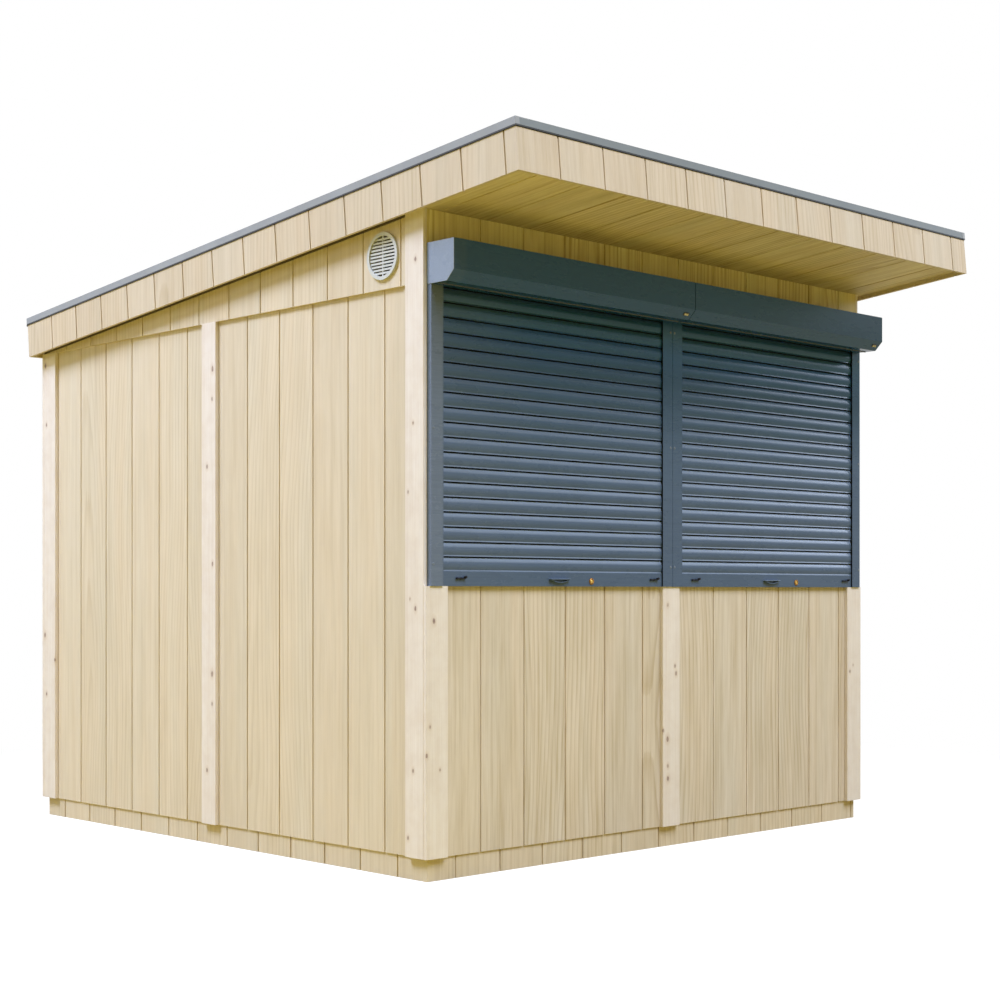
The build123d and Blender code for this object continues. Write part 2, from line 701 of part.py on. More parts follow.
# Lock cylinders beside the handles
with BuildPart() as shutter_locks:
    with BuildSketch(bar_face):
        with Locations(*[(x + LOCK_OFFSET, SILL_HEIGHT + LOCK_RISE) for x in shutter_middles]):
            Circle(LOCK_RADIUS)
    extrude(amount=LOCK_DEPTH)
save(shutter_locks, "shutter_locks")

# Sliding bolts near both ends of each bottom bar, each with a thumb knob that stands above it
left_bolt = LEFT_BOLT_INSET + BOLT_LENGTH / 2 - opening_width / 2
right_bolt = opening_width / 2 - RIGHT_BOLT_INSET - BOLT_LENGTH / 2
bolt_places = [(x + end, SILL_HEIGHT + BOLT_RISE) for x in shutter_middles for end in (left_bolt, right_bolt)]
knob_shift = BOLT_LENGTH / 2 - BOLT_KNOB_RADIUS
with BuildPart() as shutter_bolts:
    with BuildSketch(bar_face):
        with Locations(*bolt_places):
            RectangleRounded(BOLT_LENGTH, BOLT_HEIGHT, BOLT_HEIGHT / 3)
    extrude(amount=BOLT_DEPTH)
    with BuildSketch(bar_face):
        with Locations(*[(x + knob_shift, z + BOLT_KNOB_LIFT) for x, z in bolt_places]):
            Circle(BOLT_KNOB_RADIUS)
    extrude(amount=BOLT_KNOB_DEPTH)
save(shutter_bolts, "shutter_bolts")

# Round vent grilles on the gables: a ring, level slats and an upright rib
gable_x = wall_x + SHEET
vent_inner = VENT_RADIUS - VENT_RING
vent_levels = spread(-vent_inner, vent_inner, VENT_SLATS + 2)[1:-1]
with BuildPart() as vent_grilles:
    for face, way in ((Plane.YZ.offset(-gable_x), -1), (Plane.YZ.offset(gable_x), 1)):
        with BuildSketch(face):
            with Locations(vent_place):
                Circle(VENT_RADIUS)
                Circle(vent_inner, mode=Mode.SUBTRACT)
        extrude(amount=way * VENT_DEPTH)
        with BuildSketch(face):
            with Locations(vent_place):
                with Locations(*[(0, level) for level in vent_levels]):
                    Rectangle(2 * VENT_RADIUS, VENT_SLAT_HEIGHT)
                Rectangle(VENT_RIB, 2 * VENT_RADIUS)
                Circle(VENT_RADIUS - VENT_RING / 2, mode=Mode.INTERSECT)
        extrude(amount=way * VENT_DEPTH / 2)
save(vent_grilles, "vent_grilles")
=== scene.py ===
import math

import bmesh
import bpy
from mathutils import Matrix, Vector


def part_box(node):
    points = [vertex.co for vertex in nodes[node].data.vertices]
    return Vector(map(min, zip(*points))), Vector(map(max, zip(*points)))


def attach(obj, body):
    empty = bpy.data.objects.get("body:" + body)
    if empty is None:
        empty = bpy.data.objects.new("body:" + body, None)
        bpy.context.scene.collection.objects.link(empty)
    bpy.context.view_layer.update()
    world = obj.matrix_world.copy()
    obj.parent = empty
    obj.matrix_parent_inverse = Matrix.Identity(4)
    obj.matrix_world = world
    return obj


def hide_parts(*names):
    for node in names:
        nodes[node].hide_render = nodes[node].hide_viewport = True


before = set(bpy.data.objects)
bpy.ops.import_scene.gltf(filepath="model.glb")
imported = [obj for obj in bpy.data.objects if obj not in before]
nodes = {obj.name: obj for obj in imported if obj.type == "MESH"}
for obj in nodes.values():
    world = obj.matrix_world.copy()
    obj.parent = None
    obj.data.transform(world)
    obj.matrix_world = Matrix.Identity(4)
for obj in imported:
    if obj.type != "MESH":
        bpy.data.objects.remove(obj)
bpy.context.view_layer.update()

# Ground frame. Four plinth boards of grooved pine sheet stand on edge around the floor joists,
# butted at the corners and screwed together, and carry the floor deck and the walls.
GROOVE_PITCH = 0.203
PINE_SHADES = ((0.690, 0.598, 0.456), (0.714, 0.620, 0.474), (0.732, 0.640, 0.496))
JOIST_PINE, DECK_PINE = (0.60, 0.49, 0.33), (0.55, 0.44, 0.29)


def wear(name, *bare):
    """Give CAD nodes their finish."""
    for node in bare:
        slots = nodes[node].data.materials
        slots.clear()
        slots.append(bpy.data.materials[name])


def link(tree, start, socket, end, entry):
    """Join two shader nodes by the names or numbers of their sockets."""
    tree.links.new(start.outputs[socket], end.inputs[entry])


def sums(tree, operation, *values):
    """A Math node whose inputs are numbers or (node, socket) pairs."""
    node = tree.nodes.new("ShaderNodeMath")
    node.operation = operation
    for entry, value in enumerate(values):
        if isinstance(value, tuple):
            link(tree, *value, node, entry)
        else:
            node.inputs[entry].default_value = value
    return node, 0


def stops(tree, factor, shades):
    """A colour ramp over a factor, from two or more (place, colour) pairs."""
    ramp = tree.nodes.new("ShaderNodeValToRGB")
    while len(ramp.color_ramp.elements) < len(shades):
        ramp.color_ramp.elements.new(0.5)
    for stop, (place, colour) in zip(ramp.color_ramp.elements, shades):
        stop.position = place
        stop.color = (*colour, 1)
    link(tree, *factor, ramp, 0)
    return ramp, 0


def tinted(tree, amount, base, tint, blend="MULTIPLY"):
    """A colour laid over another one, by an amount."""
    mix = tree.nodes.new("ShaderNodeMix")
    mix.data_type = "RGBA"
    mix.blend_type = blend
    for entry, value in ((0, amount), (6, base), (7, tint)):
        if isinstance(value, tuple) and len(value) == 2:
            link(tree, *value, mix, entry)
        elif isinstance(value, tuple):
            mix.inputs[entry].default_value = (*value, 1)
        else:
            mix.inputs[entry].default_value = value
    return mix, 2


def finish(name):
    """A new material: its tree, its shader, the object's X, Y and Z, and its whole place."""
    material = bpy.data.materials.new(name)
    material.use_nodes = True
    tree = material.node_tree
    place = tree.nodes.new("ShaderNodeTexCoord")
    split = tree.nodes.new("ShaderNodeSeparateXYZ")
    link(tree, place, "Object", split, 0)
    axes = {axis: (split, entry) for entry, axis in enumerate("XYZ")}
    return tree, tree.nodes["Principled BSDF"], axes, (place, "Object")


def vector(tree, x, y, z):
    """Three numbers or (node, socket) pairs as one vector."""
    node = tree.nodes.new("ShaderNodeCombineXYZ")
    for entry, value in enumerate((x, y, z)):
        if isinstance(value, tuple):
            link(tree, *value, node, entry)
        else:
            node.inputs[entry].default_value = value
    return node, 0


def noise(tree, place, scale, detail=3.0, roughness=0.55, distortion=0.0):
    """Smooth noise over a place."""
    node = tree.nodes.new("ShaderNodeTexNoise")
    node.inputs["Scale"].default_value = scale
    node.inputs["Detail"].default_value = detail
    node.inputs["Roughness"].default_value = roughness
    node.inputs["Distortion"].default_value = distortion
    link(tree, *place, node, "Vector")
    return node, 0


def bump(tree, shader, height, strength, distance):
    """Raise the surface by a height."""
    node = tree.nodes.new("ShaderNodeBump")
    node.inputs["Strength"].default_value = strength
    node.inputs["Distance"].default_value = distance
    link(tree, *height, node, "Height")
    link(tree, node, 0, shader, "Normal")


def faded(figure, *tint):
    """A tint drawn nearer to white, or further from it."""
    return tuple(1 - figure * (1 - part) for part in tint)


def pine_sheet(name, run, along, first_groove, figure, painted_light_tint=(1.0, 1.0, 1.0)):
    """Grooved pine sheet: its figure runs along one axis and changes at each groove across it."""
    tree, shader, axes, _ = finish(name)
    across, length = axes[run], axes[along]
    depth = axes[({"X", "Y", "Z"} - {run, along}).pop()]
    from_groove = sums(tree, "SUBTRACT", across, first_groove)
    board = sums(tree, "FLOOR", sums(tree, "MULTIPLY", from_groove, 1 / GROOVE_PITCH))
    seed = tree.nodes.new("ShaderNodeTexWhiteNoise")
    seed.noise_dimensions = "1D"
    link(tree, *board, seed, "W")
    shift = sums(tree, "MULTIPLY", (seed, 0), 9.0)

    def lengthwise(share):
        """A share of the length, so that a pattern over it is drawn out along the board."""
        return sums(tree, "MULTIPLY_ADD", length, share, shift)

    fibre_place = vector(tree, across, lengthwise(0.012), sums(tree, "ADD", depth, shift))
    fibre = noise(tree, fibre_place, scale=260.0, detail=3.0, roughness=0.62)
    streak = noise(tree, vector(tree, across, lengthwise(0.022), shift),
                   scale=62.0, detail=5.0, roughness=0.68, distortion=0.25)
    mottle = noise(tree, vector(tree, across, lengthwise(0.16), shift),
                   scale=19.0, detail=4.0, roughness=0.6)
    hue = noise(tree, vector(tree, across, lengthwise(0.08), shift), scale=8.0, detail=2.0)

    drift = noise(tree, vector(tree, shift, lengthwise(0.45), 0.0), scale=1.6, detail=1.0)
    wandering = sums(tree, "MULTIPLY_ADD", drift, 0.16, sums(tree, "ADD", across, shift))
    rings = tree.nodes.new("ShaderNodeTexWave")
    rings.wave_type = "RINGS"
    rings.rings_direction = "Z"
    rings.wave_profile = "SAW"
    rings.inputs["Scale"].default_value = 15.0
    rings.inputs["Distortion"].default_value = 4.0
    rings.inputs["Detail"].default_value = 3.0
    rings.inputs["Detail Scale"].default_value = 1.6
    ring_place = vector(tree, sums(tree, "PINGPONG", wandering, 0.35),
                        sums(tree, "PINGPONG", lengthwise(0.055), 0.11), 0.0)
    link(tree, *ring_place, rings, "Vector")
    latewood = stops(tree, (rings, 1), [
        (0.0, (1, 1, 1)), (0.55, faded(figure, 0.98, 0.973, 0.955)),
        (0.90, faded(figure, 0.87, 0.835, 0.765)), (1.0, faded(figure, 0.95, 0.935, 0.91))])
    sawn = sums(tree, "FRACT", sums(tree, "MULTIPLY", (seed, 0), 7.3))
    flat_sawn = sums(tree, "GREATER_THAN", sawn, 0.45)

    # Each sheet's shades are scaled by a painted light tint: warmer, brighter, darker or bluer where the
    # light on that sheet differs.
    shades = [tuple(part * share for part, share in zip(shade, painted_light_tint)) for shade in PINE_SHADES]
    wood = stops(tree, (seed, 0), [(0.5 * step, shade) for step, shade in enumerate(shades)])
    wood = tinted(tree, sums(tree, "MULTIPLY_ADD", flat_sawn, 0.75, 0.2), wood, latewood)
    for pattern, tints in (
            (streak, [(0.33, faded(figure, 0.870, 0.838, 0.776)),
                      (0.46, faded(figure, 0.952, 0.938, 0.910)), (0.6, (1, 1, 1))]),
            (fibre, [(0.3, faded(figure, 0.955, 0.945, 0.925)), (0.62, (1, 1, 1))]),
            (mottle, [(0.36, faded(figure, 0.955, 0.948, 0.915)), (0.62, (1.015, 1.015, 1.01))]),
            (hue, [(0.32, (1.02, 0.995, 0.965)), (0.68, (0.985, 1.0, 1.015))])):
        wood = tinted(tree, 1.0, wood, stops(tree, pattern, tints))
    link(tree, *wood, shader, "Base Color")
    link(tree, *sums(tree, "MULTIPLY_ADD", fibre, 0.16, 0.52), shader, "Roughness")
    shader.inputs["Specular IOR Level"].default_value = 0.32
    bump(tree, shader, fibre, strength=0.12, distance=0.0006)


def sawn_timber(name, along, colour):
    """Planed softwood framing: straight fibre along one axis."""
    tree, shader, axes, _ = finish(name)
    drawn_out = {along: 0.03}
    places = [sums(tree, "MULTIPLY", axes[axis], drawn_out.get(axis, 1.0)) for axis in "XYZ"]
    fibre = noise(tree, vector(tree, *places), scale=150.0, detail=4.0, roughness=0.6)
    dark = tuple(0.8 * part for part in colour)
    link(tree, *stops(tree, fibre, [(0.3, dark), (0.68, colour)]), shader, "Base Color")
    shader.inputs["Roughness"].default_value = 0.66
    bump(tree, shader, fibre, strength=0.15, distance=0.0008)


base_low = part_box("front_and_back_plinths")[0]
pine_sheet("plinth_sheet_across", "X", "Z", first_groove=base_low.x + 0.124, figure=1.2)
pine_sheet("plinth_sheet_along", "Y", "Z", first_groove=base_low.y + 0.154, figure=0.9)
wear("plinth_sheet_across", "front_and_back_plinths")
wear("plinth_sheet_along", "side_plinths")
sawn_timber("joist_timber", "Y", JOIST_PINE)
wear("joist_timber", "floor_joists")
sawn_timber("floor_boards", "Y", DECK_PINE)
wear("floor_boards", "floor_deck")

# Wall frame. Square softwood posts stand at the corners and in the middle of each wall,
# with soles, sills and top rails of the same softwood screwed between them.
FRAME_PINE = (0.64, 0.53, 0.37)
sawn_timber("upright_timber", "Z", FRAME_PINE)
sawn_timber("rail_timber", "X", FRAME_PINE)
wear("upright_timber", "corner_posts", "middle_posts", "front_stiles")
wear("rail_timber", "wall_rails", "gable_frames")

# Wall sheets. Pine sheet with upright grooves that stand for boards, nailed to the frame and
# sealed clear. The gable sheet stands proud of the wall below and sheds water over it.
wall_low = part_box("front_lower_wall")[0]
side_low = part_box("left_wall")[0]
gable_low, gable_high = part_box("left_gable")
# The header's sheet is painted warmer and brighter, for the warm bounced light in the shade under the
# canopy, and the front sheet a little bluer, for the cooler light on the front.
pine_sheet("front_sheet", "X", "Z", first_groove=wall_low.x + 0.035, figure=1.35,
           painted_light_tint=(1.0, 1.01, 1.06))
pine_sheet("header_sheet", "X", "Z", first_groove=wall_low.x + 0.236, figure=1.95,
           painted_light_tint=(1.27, 1.32, 1.0))
pine_sheet("side_sheet", "Y", "Z", first_groove=side_low.y + 0.209, figure=0.75)
pine_sheet("gable_sheet", "Y", "Z", first_groove=gable_low.y + 0.026, figure=0.8)
wear("front_sheet", "front_lower_wall", "back_wall", "rear_door")
wear("header_sheet", "front_header_panel")
wear("side_sheet", "left_wall", "right_wall")
wear("gable_sheet", "left_gable", "right_gable")

# Gable strips. A dark strip with a fine speckle runs along each gable sheet's upper edge, under the
# soffit: painted shade, for the shadow line where the gable meets the soffit.
ROOF_FALL = math.tan(math.radians(5.32))
STRIP_HEIGHT, STRIP_PROUD, STRIP_SHORT, STRIP_EASE = 0.0080, 0.003, 0.001, 0.0006


def block(shape, low, high, ease, place=Matrix()):
    """A block between two corners with eased edges, then sheared or turned into its place."""
    known = set(shape.verts)
    size = [end - start for start, end in zip(low, high)]
    middle = [(end + start) / 2 for start, end in zip(low, high)]
    bmesh.ops.create_cube(shape, size=1.0,
                          matrix=Matrix.Translation(middle) @ Matrix.Diagonal((*size, 1)))
    edges = list({edge for vert in shape.verts if vert not in known for edge in vert.link_edges})
    bmesh.ops.bevel(shape, geom=edges, offset=ease, offset_type="OFFSET", segments=2, profile=0.5,
                    affect="EDGES", material=-1)
    bmesh.ops.transform(shape, matrix=place, verts=[vert for vert in shape.verts if vert not in known])


def falling(start):
    """A shear that lets a level piece drop with the roof, from a place along it."""
    return Matrix(((1, 0, 0, 0), (0, 1, 0, 0), (0, -ROOF_FALL, 1, ROOF_FALL * start), (0, 0, 0, 1)))


def piece(name, shape, finish_name, slot, *stands_for):
    """Turn a bmesh into a piece of the hut with a finish."""
    bmesh.ops.remove_doubles(shape, verts=shape.verts, dist=0.000001)
    bmesh.ops.recalc_face_normals(shape, faces=shape.faces)
    mesh = bpy.data.meshes.new(name)
    shape.to_mesh(mesh)
    shape.free()
    mesh.materials.append(bpy.data.materials[finish_name])
    made = bpy.data.objects.new(name, mesh)
    bpy.context.scene.collection.objects.link(made)
    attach(made, "root")
    if stands_for:
        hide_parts(*stands_for)


def speckled(name, scale, dark, bright, roughness, specular=0.5, raised=None, dark_to=0.3):
    """A finish with a fine speckle of two shades, raised by a strength and a distance."""
    tree, shader, _, place = finish(name)
    grain = noise(tree, place, scale, detail=2.0)
    link(tree, *stops(tree, grain, [(dark_to, dark), (0.7, bright)]), shader, "Base Color")
    shader.inputs["Roughness"].default_value = roughness
    shader.inputs["Specular IOR Level"].default_value = specular
    if raised:
        bump(tree, shader, grain, *raised)


# The strips' dark brown is painted shade, for the shadow line under the soffit.
speckled("gable_shadow_line", scale=700.0, dark=(0.075, 0.056, 0.038), bright=(0.150, 0.116, 0.082),
         roughness=0.85, specular=0.1, raised=(0.3, 0.0006), dark_to=0.35)
strips = bmesh.new()
for side in (-1, 1):
    # Each block reaches across the hut to the other gable, and only its outer edge shows.
    faces = sorted((side * gable_high.x, side * (STRIP_PROUD - gable_low.x)))
    block(strips, (faces[0], gable_low.y, gable_high.z - STRIP_HEIGHT),
          (faces[1], gable_high.y - STRIP_SHORT, gable_high.z), STRIP_EASE, falling(gable_low.y))
piece("gable_shadow_strips", strips, "gable_shadow_line", "black_plastic")

# Rear door. A flush door of the same grooved sheet hangs in a rebated softwood frame on three
# steel hinges. Its lever and lock cylinder, of brushed steel, stand on a long screwed plate.
JAMB_PINE = (0.66, 0.56, 0.42)
HINGE_HALF, LEAF_REACH, LEAF_PROUD, SCREW_SPREAD = 0.045, 0.020, 0.0025, 0.032
PLATE_MIDDLE, PLATE_PROUD, CYLINDER_RISE, PLATE_SCREW_RISES = 0.019, 0.005, 0.042, (0.014, 0.176)
SCREW_HEAD = ((0, 0.0004), (0.0015, 0.0004), (0.0019, 0.0014), (0.0036, 0.0013), (0.0046, 0.0007),
              (0.0050, 0.0001), (0.0050, -0.0006), (0, -0.0006))
CYLINDER = ((0, 0.0022), (0.0026, 0.0022), (0.0030, 0.0040), (0.0074, 0.0040), (0.0086, 0.0030),
            (0.0090, 0), (0.0090, -0.002), (0, -0.002))


def upright_lines(tree, axes):
    """Fine upright lines, as brushing or hairs leave them."""
    drawn_out = vector(tree, axes["X"], axes["Y"], sums(tree, "MULTIPLY", axes["Z"], 0.05))
    return noise(tree, drawn_out, scale=900.0, detail=2.0)


def turned(shape, outline, place, out, steps=20):
    """Spin an outline of radius and height about the line that leaves a surface at a place."""
    out = Vector(out).normalized()
    side = out.orthogonal().normalized()
    line = [shape.verts.new(Vector(place) + side * radius + out * height) for radius, height in outline]
    edges = [shape.edges.new(pair) for pair in zip(line, line[1:])]
    bmesh.ops.spin(shape, geom=line + edges, cent=place, axis=out, dvec=(0, 0, 0), angle=math.tau,
                   steps=steps, use_merge=True)


sawn_timber("jamb_timber", "Z", JAMB_PINE)
wear("jamb_timber", "rear_door_frame")
tree, shader, axes, _ = finish("brushed_steel")
brushed = upright_lines(tree, axes)
steel_shades = stops(tree, brushed, [(0.3, (0.52, 0.53, 0.54)), (0.7, (0.66, 0.67, 0.68))])
link(tree, *steel_shades, shader, "Base Color")
shader.inputs["Metallic"].default_value = 1.0
link(tree, *sums(tree, "MULTIPLY_ADD", brushed, 0.2, 0.24), shader, "Roughness")
wear("brushed_steel", "rear_door_hinges", "rear_door_handle")

hinge_low, hinge_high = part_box("rear_door_hinges")
lever_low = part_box("rear_door_handle")[0]
screws = bmesh.new()
hinge_middle = (hinge_low.x + hinge_high.x) / 2
for height in (hinge_low.z + HINGE_HALF, (hinge_low.z + hinge_high.z) / 2, hinge_high.z - HINGE_HALF):
    for over in (-LEAF_REACH, LEAF_REACH):
        for rise in (-SCREW_SPREAD, 0, SCREW_SPREAD):
            head = (hinge_middle + over, hinge_low.y + LEAF_PROUD, height + rise)
            turned(screws, SCREW_HEAD, head, (0, 1, 0))
piece("hinge_screws", screws, "brushed_steel", "steel_fitting")
cylinder = bmesh.new()
centre = (lever_low.x + PLATE_MIDDLE, lever_low.y + PLATE_PROUD, lever_low.z + CYLINDER_RISE)
turned(cylinder, CYLINDER, centre, (0, 1, 0), steps=32)
for rise in PLATE_SCREW_RISES:
    turned(cylinder, SCREW_HEAD, (centre[0], centre[1], lever_low.z + rise), (0, 1, 0))
piece("door_cylinder", cylinder, "brushed_steel", "steel_fitting")

# Trim boards. Planed pine boards with eased edges cover the sheet joints at the corners and in
# the middle of each wall. They are screwed through into the posts and show their knots.
KNOT_SIZE, KNOT_EDGE, KNOT_TALL = 0.66, 0.3, 0.6
LEFT_FACE, FRONT_FACE, RIGHT_TURN, BACK_RISES = -1.211, -1.2845, 2.20, (0.06, 1.01)


def planed_trim(name, knots):
    """Planed pine: fine straight grain, and knots by their place, half-width and faintness."""
    tree, shader, axes, place = finish(name)
    straight = vector(tree, axes["X"], axes["Y"], sums(tree, "MULTIPLY", axes["Z"], 0.02))
    fibre = noise(tree, straight, scale=210.0, detail=3.0, roughness=0.6, distortion=0.3)
    wide = noise(tree, straight, scale=42.0, detail=2.0)
    blotch = noise(tree, place, scale=14.0, detail=3.0, roughness=0.6)
    wood = stops(tree, wide, [(0.3, (0.775, 0.690, 0.592)), (0.7, (0.815, 0.744, 0.662))])
    for pattern, tints in (
            (fibre, [(0.28, (0.935, 0.920, 0.900)), (0.65, (1, 1, 1))]),
            (blotch, [(0.34, (0.965, 0.945, 0.925)), (0.6, (1.01, 1.01, 1.01))])):
        wood = tinted(tree, 1.0, wood, stops(tree, pattern, tints))

    flat = tree.nodes.new("ShaderNodeVectorMath")
    flat.operation = "MULTIPLY"
    flat.inputs[1].default_value = (1, 1, KNOT_TALL)
    link(tree, *place, flat, 0)
    ragged = sums(tree, "MULTIPLY_ADD", noise(tree, place, scale=160.0, detail=2.0), 0.22, -0.11)
    nearest = 1.0
    for x, y, z, half, faint in knots:
        apart = tree.nodes.new("ShaderNodeVectorMath")
        apart.operation = "DISTANCE"
        apart.inputs[1].default_value = (x, y, KNOT_TALL * z)
        link(tree, flat, 0, apart, 0)
        reach = sums(tree, "MULTIPLY", (apart, "Value"), KNOT_EDGE / (KNOT_SIZE * half))
        nearest = sums(tree, "MINIMUM", nearest, sums(tree, "MAXIMUM", reach, faint))
    wood = tinted(tree, 1.0, wood, stops(tree, sums(tree, "ADD", nearest, ragged), [
        (0.05, (0.30, 0.23, 0.23)), (0.20, (0.42, 0.34, 0.32)), (0.30, (0.62, 0.54, 0.50)),
        (0.40, (0.91, 0.87, 0.83)), (0.75, (0.97, 0.955, 0.935)), (0.9, (1, 1, 1))]))
    link(tree, *wood, shader, "Base Color")
    link(tree, *sums(tree, "MULTIPLY_ADD", fibre, 0.15, 0.5), shader, "Roughness")
    shader.inputs["Specular IOR Level"].default_value = 0.35
    bump(tree, shader, fibre, strength=0.1, distance=0.0005)


left_knots = [(LEFT_FACE, *knot) for knot in (
    (-1.228, 2.070, 0.007, 0.2), (-1.216, 1.526, 0.005, 0.24), (-1.190, 1.297, 0.005, 0.24),
    (-1.228, 0.908, 0.007, 0.16), (-1.200, 0.940, 0.004, 0.3), (-1.216, 0.368, 0.006, 0.24),
    (-1.190, 0.142, 0.006, 0.24), (-0.028, 1.812, 0.009, 0.24), (-0.025, 1.698, 0.006, 0.24),
    (0.009, 1.442, 0.007, 0.2), (-0.028, 1.070, 0.007, 0.24), (-0.025, 0.651, 0.009, 0.24),
    (-0.025, 0.537, 0.006, 0.24), (0.009, 0.283, 0.007, 0.2), (1.256, 1.939, 0.009, 0.1),
    (1.247, 1.684, 0.007, 0.1), (1.260, 0.777, 0.009, 0.1), (1.246, 0.523, 0.007, 0.1),
    (1.176, 0.672, 0.006, 0.2))]
front_knots = [(x, FRONT_FACE, *rest) for x, *rest in (
    (-1.178, 0.867, 0.008, 0.05), (-1.195, 0.517, 0.005, 0.28), (-1.209, 0.422, 0.006, 0.24),
    (-1.152, 0.372, 0.004, 0.3), (-0.020, 0.914, 0.006, 0.3), (0.020, 0.682, 0.006, 0.24),
    (0.026, 0.654, 0.007, 0.24), (-0.022, 0.408, 0.009, 0.2), (-0.020, 0.306, 0.006, 0.28),
    (-0.020, 0.258, 0.008, 0.2), (-0.046, 0.440, 0.006, 0.24), (1.134, 0.626, 0.006, 0.2),
    (1.156, 0.653, 0.004, 0.28))]
right_knots = [(-x, y, RIGHT_TURN - z, *rest) for x, y, z, *rest in left_knots]
back_knots = [(-x, -y, z + rise, *rest) for x, y, z, *rest in front_knots for rise in BACK_RISES]
for wall, knots in (("left", left_knots), ("front", front_knots), ("right", right_knots),
                    ("back", back_knots)):
    planed_trim(wall + "_trim_pine", knots)
    wear(wall + "_trim_pine", wall + "_trims")

# Roof. A flat cassette of softwood rafters between a grooved pine soffit and a boarded deck,
# nailed together and edged with fascias of the same grooved sheet.
RAFTER_PINE = (0.62, 0.51, 0.35)
soffit_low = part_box("soffit")[0]
fascia_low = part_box("front_fascia")[0]
run_low, run_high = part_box("side_fascias")
# The soffit's sheet is painted warmer, for the warm bounced light under the eaves, and the fascias' sheets
# are painted darker, to offset the stronger light on them.
pine_sheet("soffit_sheet", "X", "Y", first_groove=soffit_low.x + 0.114, figure=2.0,
           painted_light_tint=(1.07, 1.07, 0.95))
pine_sheet("front_fascia_sheet", "X", "Z", first_groove=fascia_low.x + 0.182, figure=0.9,
           painted_light_tint=(0.89, 0.87, 0.86))
pine_sheet("side_fascia_sheet", "Y", "Z", first_groove=run_low.y + 0.044, figure=0.85,
           painted_light_tint=(0.905, 0.885, 0.865))
sawn_timber("rafter_timber", "Y", RAFTER_PINE)
wear("soffit_sheet", "soffit")
wear("front_fascia_sheet", "front_fascia", "back_fascia")
wear("side_fascia_sheet", "side_fascias")
wear("rafter_timber", "rafters", "roof_deck")

# Roof felt. Gritted bitumen felt is rolled out across the deck in sheets and bonded to it,
# and each sheet laps over the next one down the slope.
LAP_STARTS, LAP_WIDTH, LAP_HALF = (-0.78, 0.20), 0.1, 1.196
LAP_SUNK, LAP_PROUD, LAP_EASE = 0.0010, 0.0024, 0.0008
tree, shader, _, place = finish("bitumen_felt")
grit = noise(tree, place, scale=520.0, detail=2.0, roughness=0.7)
cloud = noise(tree, place, scale=3.0, detail=4.0)
felt = stops(tree, grit, [(0.32, (0.012, 0.012, 0.011)), (0.66, (0.040, 0.039, 0.036))])
clouded = stops(tree, cloud, [(0.3, (0.72, 0.72, 0.72)), (0.7, (1.15, 1.15, 1.15))])
link(tree, *tinted(tree, 0.6, felt, clouded), shader, "Base Color")
shader.inputs["Roughness"].default_value = 0.92
shader.inputs["Specular IOR Level"].default_value = 0.1
bump(tree, shader, grit, strength=0.5, distance=0.002)
wear("bitumen_felt", "roof_membrane")

roof_low, roof_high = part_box("roof_membrane")
laps = bmesh.new()
for lap in LAP_STARTS:
    top = roof_high.z - ROOF_FALL * (lap - roof_low.y)
    block(laps, (-LAP_HALF, lap, top - LAP_SUNK), (LAP_HALF, lap + LAP_WIDTH, top + LAP_PROUD),
          LAP_EASE, falling(lap))
piece("felt_laps", laps, "bitumen_felt", "roof_felt")

# Edge metal. Folded grey metal with a dull baked coat caps the roof's front and sides over the
# felt, with a painted shadow line along its lower edge; the front metal is painted darker than the
# side metal, for the shade on the front. A folded drip edge closes the back. All of it is screwed down.
SHADOW_LINE_HEIGHT, PAINTED_SHADOW_LINE = 0.0052, (0.22, 0.21, 0.20)
edge_low, edge_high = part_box("side_edge_metal")


def looking_up(tree):
    """How far a surface looks up."""
    facing = tree.nodes.new("ShaderNodeNewGeometry")
    split = tree.nodes.new("ShaderNodeSeparateXYZ")
    link(tree, facing, "Normal", split, 0)
    return split, 2


def edge_metal(name, colour):
    """Folded sheet with a dull coat, a faint cloud of weather, a painted shadow line at its lower edge,
    and darker upward faces.
    """
    tree, shader, axes, place = finish(name)
    haze = noise(tree, place, scale=7.0, detail=4.0)
    worn = tuple(1.14 * part for part in colour)
    coat = stops(tree, haze, [(0.3, colour), (0.7, worn)])
    # Faces that look up are made darker.
    darker_on_top = stops(tree, looking_up(tree), [(0.3, (1, 1, 1)), (0.9, (0.26, 0.26, 0.24))])
    coat = tinted(tree, 1.0, coat, darker_on_top)
    # The metal's lowest few millimetres are painted dark: painted shade for the shadow line under its
    # edge.
    from_eave = sums(tree, "SUBTRACT", axes["Z"], edge_low.z + ROOF_FALL * edge_high.y)
    level = sums(tree, "MULTIPLY_ADD", axes["Y"], ROOF_FALL, from_eave)
    above_shadow_line = sums(tree, "GREATER_THAN", level, SHADOW_LINE_HEIGHT)
    coat = tinted(tree, 1.0, coat, stops(tree, above_shadow_line, [(0.0, PAINTED_SHADOW_LINE), (1.0, (1, 1, 1))]))
    link(tree, *coat, shader, "Base Color")
    link(tree, *sums(tree, "MULTIPLY_ADD", haze, 0.16, 0.46), shader, "Roughness")
    shader.inputs["Specular IOR Level"].default_value = 0.15
    bump(tree, shader, noise(tree, place, scale=900.0, detail=1.0), strength=0.03, distance=0.0003)


# The same coat in two copies: the front's is painted darker than the side's, for the shade on the front.
edge_metal("front_metal_shaded", (0.195, 0.215, 0.220))
edge_metal("side_metal_lit", (0.295, 0.306, 0.312))
edge_metal("drip_coat", (0.020, 0.021, 0.023))
wear("front_metal_shaded", "front_edge_metal")
wear("side_metal_lit", "side_edge_metal")
wear("drip_coat", "back_drip_edge")

